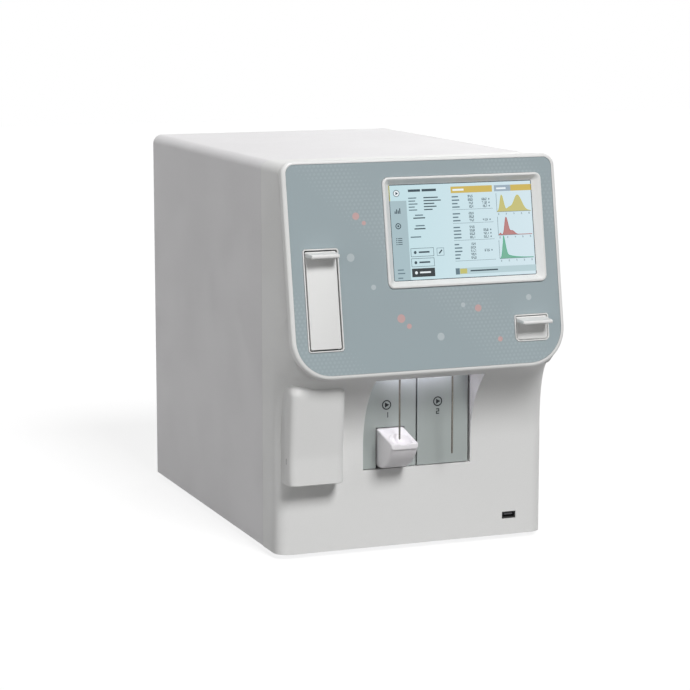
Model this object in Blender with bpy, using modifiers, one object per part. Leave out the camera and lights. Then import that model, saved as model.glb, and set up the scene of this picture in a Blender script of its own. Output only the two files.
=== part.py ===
"""Hematology analyzer: a bench-top blood cell counter, as an assembly of separate pieces.

Metres, +Z up, the front looks along -Y. The origin is on the bench, under the middle of the
bounding box. Places along Y are counted from the flat lower front face and moved to the origin's
frame at the end, by the empty that carries everything.
"""
import bpy
import bmesh
import numpy as np
from math import cos, pi, radians, sin, sqrt, tan
from mathutils import Matrix, Vector

# Overall sizes
WIDTH = 0.292
DEPTH = 0.416
TOP_Z = 0.3953
SEAM_Y = 0.0448
FOOT_HEIGHT = 0.005
GAP = 0.0003
OVERRUN = 0.004

# Walls
CASING_WALL = 0.003
COVER_WALL = 0.002
PANEL_WALL = 0.0015
TRAY_WALL = 0.002
COVER_FILLET = 0.0103

# Front casing
CORNER_RADIUS = 0.0145
CURVE_START_Z = 0.108
HEAD_BOTTOM_Z = 0.1883
HEAD_OVERHANG = 0.0503
HEAD_TILT = radians(10.09)
HEAD_CORNER = 0.004
FLANK_BLEND = 0.022

# Fascia on the head, in the head's own leaning frame: x, depth behind the face, height up the face
FASCIA_STAND = 0.0040
FASCIA_DEPTH = 0.008
FASCIA_LOW_RADIUS = 0.040
FASCIA_TOP_RADIUS = 0.013
RIM_WIDTH = 0.0042
RIM_ROUND = 0.0035
RIM_FLANGE = 0.012
OVERLAY_RECESS = 0.0012
OVERLAY_THICKNESS = 0.0006

# Tube door
DOOR_EDGE = 0.0165
DOOR_WIDTH = 0.0370
DOOR_BASE = 0.0277
DOOR_HEIGHT = 0.1002
DOOR_RADIUS = 0.003
TRIM_WIDTH = 0.0013
TRIM_PROUD = 0.0005
TRIM_DEPTH = 0.014
DOOR_GAP = 0.0013
LEAF_THICKNESS = 0.003
DOOR_LIP_REACH = 0.0145
DOOR_LIP_HEIGHT = 0.0072
DOOR_LIP_ROOT = 0.0050
DOOR_LIP_DROP = 0.0031
DOOR_LIP_TAPER = 0.0013
HINGE_RADIUS = 0.0015
HINGE_CLEARANCE = 0.0001
HINGE_DEPTH = 0.0035
HINGE_RISE = 0.0081
KNUCKLE_RADIUS = 0.0030
HOLDER_RADIUS = 0.0105
HOLDER_BORE = 0.0070
HOLDER_HEIGHT = 0.070
HOLDER_FLOOR = 0.004
HOLDER_LIFT = 0.002
HOLDER_STANDOFF = 0.002
SADDLE_WIDTH = 0.012

# Pipette drawer
DRAWER_EDGE = 0.0180
DRAWER_WIDTH = 0.0374
DRAWER_BASE = 0.0260
DRAWER_HEIGHT = 0.0270
DRAWER_LOW_RADIUS = 0.0050
DRAWER_TOP_RADIUS = 0.0025
DRAWER_SLEEVE = 0.040
DRAWER_GAP = 0.0008
DRAWER_LIP_REACH = 0.0165
DRAWER_LIP_HEIGHT = 0.0080
DRAWER_LIP_ROOT = 0.0045
DRAWER_LIP_DROP = 0.0043
DRAWER_LIP_TAPER = 0.0006
LIP_SET = 0.0005
LIP_ROUND = 0.0015
TRAY_LENGTH = 0.036
TRAY_DROP = 0.0045
POCKET_WIDTH = 0.012
POCKET_LENGTH = 0.024
POCKET_FLOOR = 0.005
POCKET_SET = 0.005

# Display
DISPLAY_GAP = 0.0500
DISPLAY_EDGE = 0.0170
DISPLAY_BASE = 0.0853
DISPLAY_BORDER = 0.0196
BEZEL_PROUD = 0.0015
BEZEL_SIDE = 0.0084
BEZEL_RISE = 0.0072
BEZEL_LAND = 0.0022
BEZEL_RADIUS = 0.0065
SCREEN_RADIUS = 0.0015
SCREEN_DEPTH = 0.0050
GLASS_EDGE = 0.0025
GLASS_THICKNESS = 0.0015
MODULE_INSET = 0.002
MODULE_DEPTH = 0.009
BOARD_INSET = 0.014
BOARD_THICKNESS = 0.0016

# Sample niche, start plates, needles and rinse cup
NICHE_CENTRE = 0.0036
NICHE_WIDTH = 0.1175
NICHE_BASE_Z = 0.0846
NICHE_TOP_Z = 0.182
NICHE_WALL = 0.0025
NICHE_BACK_Y = 0.010
PLATE_Y = 0.002
PLATE_THICKNESS = 0.003
PLATE_SLOT = 0.0012
PLATE_SIDE_SLOT = 0.0018
PLATE_TRAVEL = 0.002
PLATE_FLOOR_GAP = 0.0008
PIN_RADIUS = 0.0015
PIN_CLEARANCE = 0.0003
PIN_INSET = 0.006
PIN_LENGTH = 0.007
SWITCH_SIZE = 0.010
NEEDLE_Y = -0.0225
NEEDLE_OFFSET = 0.0286
NEEDLE_RADIUS = 0.00095
NEEDLE_BORE_CLEARANCE = 0.0015
BLOOD_TIP_Z = 0.1186
DILUTE_TIP_Z = 0.1000
NEEDLE_TOP_Z = 0.2045
HUB_RADIUS = 0.0028
HUB_HEIGHT = 0.006
CARRIAGE_Z = 0.196
CARRIAGE_HEIGHT = 0.012
CARRIAGE_WIDTH = 0.014
CARRIAGE_NOSE = 0.0045
NEEDLE_LIFT = 0.050
ROD_Y = 0.024
ROD_RADIUS = 0.003
ROD_CLEARANCE = 0.0003
FRAME_WALL = 0.003
FRAME_LOW_Z = 0.1865
FRAME_SIDE = 0.022
FRAME_HEADROOM = 0.002
FLANGE_FRONT_Y = 0.018
LIFTER_OFFSET = 0.0145
LIFTER_Y = 0.0375
LIFTER_RADIUS = 0.0060
LIFTER_ROOM = 0.0015
LIFTER_BORE = 0.0026
LIFTER_ROD = 0.0020
LIFTER_ENGAGED = 0.008
LIFTER_TAB = 0.005
TAB_EDGE = 0.003
CUP_WIDTH = 0.0290
CUP_HEIGHT = 0.0395
CUP_SLOT = 0.0010
CUP_REACH = 0.037
CUP_TIP_DROP = 0.0085
CUP_LIP_HEIGHT = 0.0065
CUP_EDGE = 0.0015
DISH_WIDTH = 0.0110
DISH_LENGTH = 0.0150
DISH_DEPTH = 0.0065
DISH_AHEAD = 0.006
CUP_BACK_Y = 0.015
CUP_RAIL_HEIGHT = 0.006
CUP_RAIL_INSET = 0.005
LAMP_WIDTH = 0.080
LAMP_DEPTH = 0.006
LAMP_HEIGHT = 0.0022
LAMP_Y = -0.010

# Mixer behind the bulge at the lower left
MIXER_EDGE = 0.0050
MIXER_WIDTH = 0.0575
MIXER_BASE_Z = 0.0795
MIXER_TOP_Z = 0.1800
MIXER_REACH = 0.0235
MIXER_TOP_REACH = 0.0295
MIXER_ROUND = 0.008
MIXER_WALL = 0.0025
MIXER_CROWN = 0.010
MIXER_ROOT_Y = 0.012
ROTOR_ROOM = 0.0015
ROTOR_BASE_Z = 0.092
ROTOR_RADIUS = 0.0200
ROTOR_HEIGHT = 0.050
ROTOR_Y = 0.0085
ROTOR_HOLE = 0.0065
ROTOR_HOLE_PITCH = 0.0115
ROTOR_HOLE_DEPTH = 0.040
SHAFT_RADIUS = 0.0028
SHAFT_LENGTH = 0.010
DRIVE_HEIGHT = 0.016
DRIVE_WIDTH = 0.024
MOTOR_RADIUS = 0.014
MOTOR_HEIGHT = 0.022

# Front port
PORT_EDGE = 0.0395
PORT_WIDTH = 0.0148
PORT_HEIGHT = 0.0068
PORT_RISE = 0.0170
PORT_DEPTH = 0.014
PORT_MOUTH = 0.0010

# Inner frame
BULKHEAD_Y = 0.050
FLANGE_HEIGHT = 0.014
CHASSIS_X = 0.020
CHASSIS_HEIGHT = 0.300
CHASSIS_FOOT = 0.014
SUPPLY_WIDTH = 0.090
SUPPLY_DEPTH = 0.140
SUPPLY_HEIGHT = 0.055
SUPPLY_REAR_GAP = 0.0205
MAIN_BOARD_Y = 0.080
MAIN_BOARD_LENGTH = 0.230
MAIN_BOARD_Z = 0.090
MAIN_BOARD_HEIGHT = 0.180
CABLE_HOLE = 0.040
CABLE_HOLE_DROP = 0.093
STANDOFF_HEIGHT = 0.006
STANDOFF_RADIUS = 0.004

# Fluid parts on the chassis plate
CELL_RADIUS = 0.017
CELL_BORE = 0.013
CELL_HEIGHT = 0.045
CELL_Z = 0.215
CELL_YS = (0.120, 0.175)
CELL_FLOOR = 0.008
VALVE_Y = 0.083
VALVE_Z = 0.170
VALVE_RADIUS = 0.015
VALVE_DEPTH = 0.018
DISC_DEPTH = 0.008
DISC_EAR = 0.006
SPINDLE_RADIUS = 0.003
DISPENSER_Y = 0.260
DISPENSER_Z = 0.150
DISPENSER_WIDTH = 0.032
DISPENSER_HEIGHT = 0.090
BARREL_RADIUS = 0.0090
BARREL_DEPTH = 0.080
PLUNGER_CLEARANCE = 0.0003
PLUNGER_HEIGHT = 0.070
PLUNGER_GRIP = 0.012
PLUNGER_FOOT = 0.006
PLUNGER_FOOT_RADIUS = 0.013
PUMP_RADIUS = 0.022
PUMP_LENGTH = 0.070
PUMP_HEAD = 0.018
PUMP_BASE = 0.006
PUMP_X = -0.070
PUMP_REAR_GAP = 0.0645

# Rear
FAN_SIZE = 0.080
FAN_DEPTH = 0.022
FAN_EDGE = 0.034
FAN_DROP = 0.040
FAN_WALL = 0.0035
FAN_HUB = 0.014
FAN_POST = 0.0040
FAN_CLEARANCE = 0.0008
FAN_SPOKE = 0.004
FAN_BLADES = 7
BLADE_THICKNESS = 0.0014
GUARD_WIRE = 0.0022
GUARD_DEPTH = 0.003
GUARD_RING_SHARES = (0.32, 0.62, 0.92)
BLADE_PITCH = radians(35)
INLET_EDGE = 0.030
INLET_WIDTH = 0.030
INLET_HEIGHT = 0.052
INLET_RISE = 0.022
INLET_DEPTH = 0.024
INLET_FLANGE = 0.002
INLET_LIP = 0.003
SOCKET_HEIGHT = 0.020
SOCKET_DEPTH = 0.016
ROCKER_WIDTH = 0.014
ROCKER_HEIGHT = 0.020
ROCKER_DEPTH = 0.008
ROCKER_PROUD = 0.0022
ROCKER_ROOM = 0.0015
ROCKER_TILT = radians(8)
NIPPLE_COUNT = 4
NIPPLE_PITCH = 0.024
NIPPLE_EDGE = 0.050
NIPPLE_DROP = 0.055
NIPPLE_RADIUS = 0.0040
NIPPLE_BORE = 0.0020
NIPPLE_LENGTH = 0.0080
BLOCK_HEIGHT = 0.024
BLOCK_DEPTH = 0.016
SENSOR_COUNT = 2
SENSOR_PITCH = 0.030
SOCKETS_DROP = 0.0703
SENSOR_RADIUS = 0.0085
SENSOR_PROUD = 0.003
SENSOR_WALL = 0.0025
SENSOR_RECESS = 0.010
PORTS_COUNT = 3
PORTS_PITCH = 0.022
PORTS_EDGE = 0.034
PORTS_SIZE = 0.014
PORTS_BLOCK = 0.020
PORTS_RECESS = 0.010
PORTS_WALL = 0.0015

# Feet
FOOT_RADIUS = 0.010
FOOT_TAPER = 0.0015
FOOT_INSET = 0.028

# Places that follow from the sizes above
HALF = WIDTH / 2
BODY_Z = FOOT_HEIGHT
FASCIA_HEIGHT = (TOP_Z + FASCIA_STAND - HEAD_BOTTOM_Z) / cos(HEAD_TILT)
DISPLAY_HEIGHT = FASCIA_HEIGHT - DISPLAY_BORDER - DISPLAY_BASE
LIFTER_HEIGHT = NEEDLE_LIFT + LIFTER_ENGAGED + LIFTER_ROOM
DRAWER_LEAF_TOP = DRAWER_BASE + DRAWER_HEIGHT - TRIM_WIDTH - DRAWER_GAP
LIP_NOSE = DRAWER_LEAF_TOP - LIP_SET - DRAWER_LIP_HEIGHT + LIP_ROUND
FRONT_REACH = HEAD_OVERHANG - LIP_NOSE * sin(HEAD_TILT) + DRAWER_LIP_REACH * cos(HEAD_TILT)
FRONT_Y = (FRONT_REACH - DEPTH - NIPPLE_LENGTH) / 2
FLOOR_Z = BODY_Z + TRAY_WALL + GAP
INNER_HALF = HALF - COVER_WALL - GAP
REAR_IN_Y = DEPTH - PANEL_WALL
NICHE_LEFT = NICHE_CENTRE - NICHE_WIDTH / 2
NICHE_RIGHT = NICHE_CENTRE + NICHE_WIDTH / 2
BLOOD_X = NICHE_CENTRE - NEEDLE_OFFSET
DILUTE_X = NICHE_CENTRE + NEEDLE_OFFSET
DOOR_LEFT = -HALF + DOOR_EDGE
DOOR_RIGHT = DOOR_LEFT + DOOR_WIDTH
DRAWER_RIGHT = HALF - DRAWER_EDGE
DRAWER_LEFT = DRAWER_RIGHT - DRAWER_WIDTH
BEZEL_LEFT = DOOR_RIGHT + DISPLAY_GAP
BEZEL_RIGHT = HALF - DISPLAY_EDGE
RIM_BACK = FASCIA_DEPTH + GAP
CURVE_END_Z = HEAD_BOTTOM_Z - RIM_BACK * sin(HEAD_TILT)
CURVE_END_OUT = HEAD_OVERHANG - RIM_BACK * cos(HEAD_TILT)
CURVE_RISE = CURVE_END_Z - CURVE_START_Z
CURVE_RADIUS = (CURVE_RISE ** 2 + CURVE_END_OUT ** 2) / (2 * CURVE_END_OUT)
PORT_LEFT = HALF - PORT_EDGE - CORNER_RADIUS / 2
PORT_Z = BODY_Z + PORT_RISE
MIXER_LEFT = -HALF + MIXER_EDGE
MIXER_RIGHT = MIXER_LEFT + MIXER_WIDTH
ROTOR_X = (MIXER_LEFT + MIXER_RIGHT) / 2
CASING_CLEAR = CASING_WALL + GAP
CUP_LEFT = BLOOD_X - CUP_WIDTH / 2
CUP_RIGHT = BLOOD_X + CUP_WIDTH / 2
CUP_BASE_Z = NICHE_BASE_Z + PLATE_FLOOR_GAP + CUP_SLOT
CUP_TOP_Z = CUP_BASE_Z + CUP_HEIGHT
NICHE_REAR_Y = NICHE_BACK_Y + NICHE_WALL
PLATE_LOW_Z = NICHE_BASE_Z + PLATE_FLOOR_GAP
PLATE_HIGH_Z = NICHE_TOP_Z - PLATE_FLOOR_GAP
LEFT_PLATE = (NICHE_LEFT + GAP, NICHE_CENTRE - PLATE_SLOT / 2)
RIGHT_PLATE = (NICHE_CENTRE + PLATE_SLOT / 2, NICHE_RIGHT - PLATE_SIDE_SLOT)
FRAME_BACK_Y = BULKHEAD_Y - GAP
FRAME_TOP_Z = CARRIAGE_Z + CARRIAGE_HEIGHT + NEEDLE_LIFT + FRAME_HEADROOM + FRAME_WALL
FRAME_FACE_Y = FRAME_BACK_Y - FRAME_WALL
COVER_CLEAR = COVER_WALL + GAP
BULKHEAD_REAR_Y = BULKHEAD_Y + PANEL_WALL
PANEL_TOP_Z = TOP_Z - COVER_CLEAR
CABLE_HOLE_Z = PANEL_TOP_Z - CABLE_HOLE_DROP
SUPPLY_Y = REAR_IN_Y - INLET_DEPTH - SUPPLY_REAR_GAP - SUPPLY_DEPTH
PUMP_Y = REAR_IN_Y - PUMP_REAR_GAP - PUMP_LENGTH
FAN_X = HALF - FAN_EDGE - FAN_SIZE / 2
FAN_Z = TOP_Z - FAN_DROP - FAN_SIZE / 2
FAN_BORE = FAN_SIZE / 2 - FAN_WALL
SOCKETS_Z = FAN_Z - FAN_SIZE / 2 - SOCKETS_DROP
NIPPLE_Z = SOCKETS_Z - NIPPLE_DROP
INLET_RIGHT = HALF - INLET_EDGE
INLET_LEFT = INLET_RIGHT - INLET_WIDTH
INLET_LOW = BODY_Z + INLET_RISE
INLET_HIGH = INLET_LOW + INLET_HEIGHT
NIPPLE_XS = [-HALF + NIPPLE_EDGE + NIPPLE_PITCH * i for i in range(NIPPLE_COUNT)]
SENSOR_XS = [-HALF + NIPPLE_EDGE + SENSOR_PITCH * i for i in range(SENSOR_COUNT)]
PORTS_XS = [HALF - PORTS_EDGE - PORTS_PITCH * i for i in range(PORTS_COUNT)]
BLOCK_REAR_Y = REAR_IN_Y - GAP

# How finely curves are drawn
CORNER_STEPS = 6
LEAF_STEPS = 2
RIM_STEPS = 3
ROUND_SIDES = 24
FINE_SIDES = 16
FLAT_ROWS = 2
CURVE_ROWS = 9
FLANK_ROWS = 6
FILLET_ROWS = 4
WALL_ROWS = 9
CUP_ROWS = 5
TOP_DRAW_SHARE = 0.92
CUP_SWELL = 0.85
SHARP_TURN = radians(35)
WELD = 0.000001


def reset_scene():
    """Start from an empty scene with a collection for the parts and one for the cutters."""
    for thing in list(bpy.data.objects):
        bpy.data.objects.remove(thing, do_unlink=True)
    parts = bpy.data.collections.new("hematology_analyzer")
    cutters = bpy.data.collections.new("cutters")
    bpy.context.scene.collection.children.link(parts)
    bpy.context.scene.collection.children.link(cutters)
    return parts, cutters


PARTS, CUTTERS = reset_scene()


def anchor(name, place=(0, 0, 0), tilt=0.0, parent=None):
    """An empty that carries pieces: its axes are the axes that they are modelled in."""
    empty = bpy.data.objects.new(name, None)
    PARTS.objects.link(empty)
    empty.parent = parent
    empty.location = place
    empty.rotation_euler = (tilt, 0, 0)
    return empty


BODY = anchor("body_origin", (0, FRONT_Y, 0))
HEAD = anchor("head_origin", (0, -HEAD_OVERHANG, HEAD_BOTTOM_Z), -HEAD_TILT, BODY)


def material(name, colour, roughness, metallic=0.0):
    """A plain finish in the photographed colour, made once for each piece."""
    finish = bpy.data.materials.new(name + "_finish")
    finish.use_nodes = True
    shader = finish.node_tree.nodes["Principled BSDF"]
    shader.inputs["Base Color"].default_value = (*colour, 1)
    shader.inputs["Roughness"].default_value = roughness
    shader.inputs["Metallic"].default_value = metallic
    return finish


WHITE = ((0.80, 0.80, 0.79), 0.45)
COVER_WHITE = ((0.70, 0.70, 0.71), 0.50)
BLUE_GREY = ((0.34, 0.43, 0.46), 0.40)
BLACK = ((0.02, 0.02, 0.02), 0.40)
DARK = ((0.10, 0.10, 0.11), 0.55)
STEEL = ((0.60, 0.60, 0.58), 0.30, 1.0)
ZINC = ((0.55, 0.56, 0.58), 0.45, 1.0)
CLEAR = ((0.85, 0.88, 0.90), 0.15)
GREEN = ((0.03, 0.20, 0.10), 0.50)
SCREEN = ((0.55, 0.75, 0.80), 0.20)
LAMP = ((0.90, 0.90, 1.00), 0.30)


def finish_object(name, mesh, look, parent=None):
    """Link a mesh on its carrier: a piece with its own material, or a tool with none."""
    made = bpy.data.objects.new(name, mesh)
    (PARTS if look else CUTTERS).objects.link(made)
    made.parent = parent or BODY
    if look:
        made.data.materials.clear()
        made.data.materials.append(material(name, *look))
    return made


def to_mesh(name, bm):
    """Turn a bmesh into a mesh whose faces all point outwards."""
    bmesh.ops.recalc_face_normals(bm, faces=bm.faces)
    mesh = bpy.data.meshes.new(name)
    bm.to_mesh(mesh)
    bm.free()
    return mesh


def box(name, low, high, look=None, parent=None):
    """A block between two opposite corners."""
    bm = bmesh.new()
    bmesh.ops.create_cube(bm, size=1)
    size = [b - a for a, b in zip(low, high)]
    middle = [(a + b) / 2 for a, b in zip(low, high)]
    bmesh.ops.scale(bm, vec=size, verts=bm.verts)
    bmesh.ops.translate(bm, vec=middle, verts=bm.verts)
    return finish_object(name, to_mesh(name, bm), look, parent)


def rod(name, start, end, radius, look=None, parent=None, sides=FINE_SIDES, end_radius=None):
    """A round bar, or a cone with end_radius, from one point to another."""
    bm = bmesh.new()
    run = Vector(end) - Vector(start)
    far = radius if end_radius is None else end_radius
    bmesh.ops.create_cone(bm, cap_ends=True, segments=sides, radius1=radius, radius2=far,
                          depth=run.length)
    turn = run.to_track_quat("Z", "Y").to_matrix().to_4x4()
    middle = (Vector(start) + Vector(end)) / 2
    bmesh.ops.transform(bm, matrix=Matrix.Translation(middle) @ turn, verts=bm.verts)
    mesh = to_mesh(name, bm)
    mesh.shade_smooth()
    mesh.set_sharp_from_angle(angle=SHARP_TURN)
    return finish_object(name, mesh, look, parent)


def rounded(left, right, low, high, low_radius, top_radius, steps=CORNER_STEPS):
    """Outline of a rectangle with round corners, anticlockwise from the lower right, as (x, z)."""
    corners = ((right - low_radius, low + low_radius, low_radius, -90),
               (right - top_radius, high - top_radius, top_radius, 0),
               (left + top_radius, high - top_radius, top_radius, 90),
               (left + low_radius, low + low_radius, low_radius, 180))
    outline = []
    for x, z, radius, start in corners:
        for step in range(steps + 1):
            turn = radians(start + 90 * step / steps)
            outline.append((x + radius * cos(turn), z + radius * sin(turn)))
    return outline


def rectangle(left, right, low, high):
    """Outline of a plain rectangle, anticlockwise, as (x, z)."""
    return [(right, low), (right, high), (left, high), (left, low)]


def circle(x, z, radius, sides=FINE_SIDES):
    """Outline of a circle as (x, z)."""
    return [(x + radius * cos(2 * pi * i / sides), z + radius * sin(2 * pi * i / sides))
            for i in range(sides)]


STANDING = Matrix.Rotation(radians(90), 4, "X")
SIDEWAYS = Matrix(((0, 0, 1, 0), (1, 0, 0, 0), (0, 1, 0, 0), (0, 0, 0, 1)))


def plate(name, outlines, low, high, look=None, parent=None, stance=STANDING):
    """A flat plate with holes: a filled 2D curve given its thickness, welded into one solid.

    A standing plate is drawn in (x, z) and is thick from y = low to high, and a sideways one is
    drawn in (y, z) and is thick along x.
    """
    curve = bpy.data.curves.new(name, "CURVE")
    curve.dimensions = "2D"
    curve.fill_mode = "BOTH"
    curve.extrude = (high - low) / 2
    curve.render_resolution_u = 0
    for outline in outlines:
        spline = curve.splines.new("POLY")
        spline.points.add(len(outline) - 1)
        for point, (across, up) in zip(spline.points, outline):
            point.co = (across, up, 0, 1)
        spline.use_cyclic_u = True
    drawn = bpy.data.objects.new(name + "_outline", curve)
    PARTS.objects.link(drawn)
    bpy.context.view_layer.update()
    mesh = bpy.data.meshes.new_from_object(drawn.evaluated_get(bpy.context.evaluated_depsgraph_get()))
    bpy.data.objects.remove(drawn)
    bm = bmesh.new()
    bm.from_mesh(mesh)
    bmesh.ops.remove_doubles(bm, verts=bm.verts, dist=WELD)
    through = Vector([abs(share) for share in stance.col[2][:3]])
    place = Matrix.Translation(through * (low + high) / 2)
    bmesh.ops.transform(bm, matrix=place @ stance, verts=bm.verts)
    return finish_object(name, to_mesh(name, bm), look, parent)


def loft(name, rings, look=None, parent=None, capped=True, looped=False):
    """A skin through rings of equally many points; capped at both ends, or joined end to end."""
    bm = bmesh.new()
    rows = [[bm.verts.new(point) for point in ring] for ring in rings]
    pairs = list(zip(rows, rows[1:]))
    if looped:
        pairs.append((rows[-1], rows[0]))
    for lower, upper in pairs:
        for i in range(len(lower)):
            j = (i + 1) % len(lower)
            bm.faces.new((lower[i], lower[j], upper[j], upper[i]))
    if capped and not looped:
        bm.faces.new(rows[0][::-1])
        bm.faces.new(rows[-1])
    return finish_object(name, to_mesh(name, bm), look, parent)


def at_depth(outline, depth):
    """Stand an (x, z) outline up at a depth along Y."""
    return [(x, depth, z) for x, z in outline]


def apply_boolean(target, tool, operation):
    """Cut or join two solids for good, and drop the tool."""
    step = target.modifiers.new(operation.lower(), "BOOLEAN")
    step.operation = operation
    step.solver = "EXACT"
    step.object = tool
    bpy.context.view_layer.update()
    seen = target.evaluated_get(bpy.context.evaluated_depsgraph_get())
    mesh = bpy.data.meshes.new_from_object(seen)
    target.modifiers.clear()
    old = target.data
    target.data = mesh
    bpy.data.meshes.remove(old)
    bpy.data.objects.remove(tool, do_unlink=True)
    return target


def cut(target, *tools):
    """Take each tool's volume out of the target."""
    for tool in tools:
        apply_boolean(target, tool, "DIFFERENCE")
    return target


def join(target, *tools):
    """Make the target and each tool one solid."""
    for tool in tools:
        apply_boolean(target, tool, "UNION")
    return target


def head_plane(z, depth=0.0):
    """Y of the leaning face's plane at a height, moved into the head by a depth."""
    return -HEAD_OVERHANG + (z - HEAD_BOTTOM_Z) * tan(HEAD_TILT) + depth / cos(HEAD_TILT)


def front_y(z, inset=0.0):
    """Y of the casing's front at a height: flat, then an arc out to the head, then the lean."""
    rise = max(0.0, z - CURVE_START_Z)
    reach = (CURVE_RADIUS + inset) ** 2 - rise ** 2
    arc = sqrt(max(0.0, reach)) - CURVE_RADIUS
    return max(arc, head_plane(z, RIM_BACK + inset))


def corner_size(z):
    """How far the casing's round corner runs across and back at a height.

    Below the curve the corner is round. On the curve it widens to the fascia's low corner, up
    that corner it follows the fascia's outline, and above it narrows to a small edge.
    """
    across = CORNER_RADIUS
    back = CORNER_RADIUS - front_y(z)
    height = (z - CURVE_END_Z) / cos(HEAD_TILT)
    if z > CURVE_START_Z:
        share = min(1.0, (z - CURVE_START_Z) / CURVE_RISE)
        across = CORNER_RADIUS + (FASCIA_LOW_RADIUS - CORNER_RADIUS) * share
    if height > 0:
        drop = max(0.0, FASCIA_LOW_RADIUS - height)
        across = FASCIA_LOW_RADIUS - sqrt(FASCIA_LOW_RADIUS ** 2 - drop ** 2)
        across = max(across, HEAD_CORNER)
        fade = (height - FASCIA_LOW_RADIUS) / FLANK_BLEND
        fade = min(1.0, max(0.0, fade))
        back += (HEAD_CORNER - back) * fade
    return across, back


def casing_section(z, inset, back_y):
    """The casing's plan outline at a height, from the left seam round the front to the right."""
    fall = max(0.0, z - (TOP_Z - COVER_FILLET))
    drawn = COVER_FILLET - sqrt(max(0.0, COVER_FILLET ** 2 - fall ** 2))
    half = HALF - inset - min(drawn, COVER_FILLET * TOP_DRAW_SHARE)
    across, back = corner_size(z)
    front = front_y(z, inset)
    right = [(half, back_y, z)]
    for step in range(CORNER_STEPS + 1):
        turn = pi / 2 * step / CORNER_STEPS
        right.append((half - across * (1 - cos(turn)), front + back * (1 - sin(turn)), z))
    left = [(-x, y, z) for x, y, z in right]
    return left + right[::-1]


def casing_heights(top):
    """Heights of the casing's sections: close together where the shape turns."""
    heights = list(np.linspace(BODY_Z, CURVE_START_Z, FLAT_ROWS + 1))
    heights += list(np.linspace(CURVE_START_Z, CURVE_END_Z, CURVE_ROWS + 1)[1:])
    flank_top = CURVE_END_Z + (FASCIA_LOW_RADIUS + FLANK_BLEND) * cos(HEAD_TILT)
    heights += list(np.linspace(CURVE_END_Z, flank_top, FLANK_ROWS + 1)[1:])
    for step in range(FILLET_ROWS + 1):
        turn = pi / 2 * step / FILLET_ROWS
        heights.append(top - COVER_FILLET + COVER_FILLET * sin(turn))
    return heights


def casing_solid(name, inset, back_y, top=TOP_Z):
    """The casing's outer form as one closed block, for cutting its neighbours."""
    rings = [casing_section(min(z, top), inset, back_y) for z in casing_heights(TOP_Z)]
    return loft(name, rings)


def make_front_casing():
    """The white front moulding: sides, curved front and top, open behind and below."""
    bm = bmesh.new()
    rows = []
    for z in casing_heights(TOP_Z):
        rows.append([bm.verts.new(point) for point in casing_section(z, 0.0, SEAM_Y)])
    for lower, upper in zip(rows, rows[1:]):
        for i in range(len(lower) - 1):
            bm.faces.new((lower[i], lower[i + 1], upper[i + 1], upper[i]))
    bm.faces.new(rows[-1])
    casing = finish_object("front_casing", to_mesh("front_casing", bm), WHITE)
    wall = casing.modifiers.new("wall", "SOLIDIFY")
    wall.thickness = CASING_WALL
    wall.offset = -1
    wall.use_even_offset = True
    niche = box("niche_cut", (NICHE_LEFT, -HEAD_OVERHANG - OVERRUN, NICHE_BASE_Z),
                (NICHE_RIGHT, CASING_WALL + OVERRUN, NICHE_TOP_Z))
    head = plate("head_cut", [rounded(-HALF + RIM_FLANGE, HALF - RIM_FLANGE, RIM_FLANGE,
                                      FASCIA_HEIGHT - RIM_FLANGE, FASCIA_LOW_RADIUS - RIM_FLANGE,
                                      FASCIA_TOP_RADIUS)],
                 FASCIA_DEPTH - OVERRUN, RIM_BACK + CASING_WALL + OVERRUN, parent=HEAD)
    port = box("port_cut", (PORT_LEFT - GAP, -OVERRUN, PORT_Z - GAP),
               (PORT_LEFT + PORT_WIDTH + GAP, CASING_WALL + OVERRUN, PORT_Z + PORT_HEIGHT + GAP))
    room = ROTOR_RADIUS + ROTOR_ROOM
    mixer = box("mixer_cut", (ROTOR_X - room, -OVERRUN * 4, ROTOR_BASE_Z - ROTOR_ROOM),
                (ROTOR_X + room, CASING_WALL + OVERRUN, ROTOR_BASE_Z + ROTOR_HEIGHT + ROTOR_ROOM))
    return cut(casing, niche, head, port, mixer)


def make_cabinet_cover():
    """The sheet cover behind the seam: two sides and the top, bent with round upper edges."""
    def arch(inset):
        """Half outline of the cover from the lower right over the top to the lower left."""
        half = HALF - inset
        radius = COVER_FILLET - inset
        top = TOP_Z - inset
        path = [(half, BODY_Z)]
        for step in range(CORNER_STEPS + 1):
            turn = pi / 2 * step / CORNER_STEPS
            path.append((half - radius + radius * cos(turn), top - radius + radius * sin(turn)))
        return path + [(-x, z) for x, z in path[::-1]]
    outline = arch(0.0) + arch(COVER_WALL)[::-1]
    return plate("cabinet_cover", [outline], SEAM_Y + GAP, DEPTH, COVER_WHITE)


def fascia_ring(inset, depth):
    """The fascia's outline drawn in by an inset, at a depth behind the face."""
    return at_depth(rounded(-HALF + inset, HALF - inset, inset, FASCIA_HEIGHT - inset,
                            FASCIA_LOW_RADIUS - inset, FASCIA_TOP_RADIUS - inset), depth)


def make_fascia_frame():
    """The white rim panel on the head, with a recess for the overlay and three openings."""
    rings = [fascia_ring(0.0, FASCIA_DEPTH)]
    for step in range(RIM_STEPS + 1):
        turn = pi / 2 * step / RIM_STEPS
        rings.append(fascia_ring(RIM_ROUND * (1 - cos(turn)), RIM_ROUND * (1 - sin(turn))))
    rings.append(fascia_ring(RIM_WIDTH, 0.0))
    rings.append(fascia_ring(RIM_WIDTH, OVERLAY_RECESS))
    frame = loft("fascia_frame", rings, WHITE, HEAD)
    for name, outline in face_openings():
        tool = plate(name + "_cut", [outline], -OVERRUN, FASCIA_DEPTH + OVERRUN, parent=HEAD)
        cut(frame, tool)
    return frame


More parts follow.
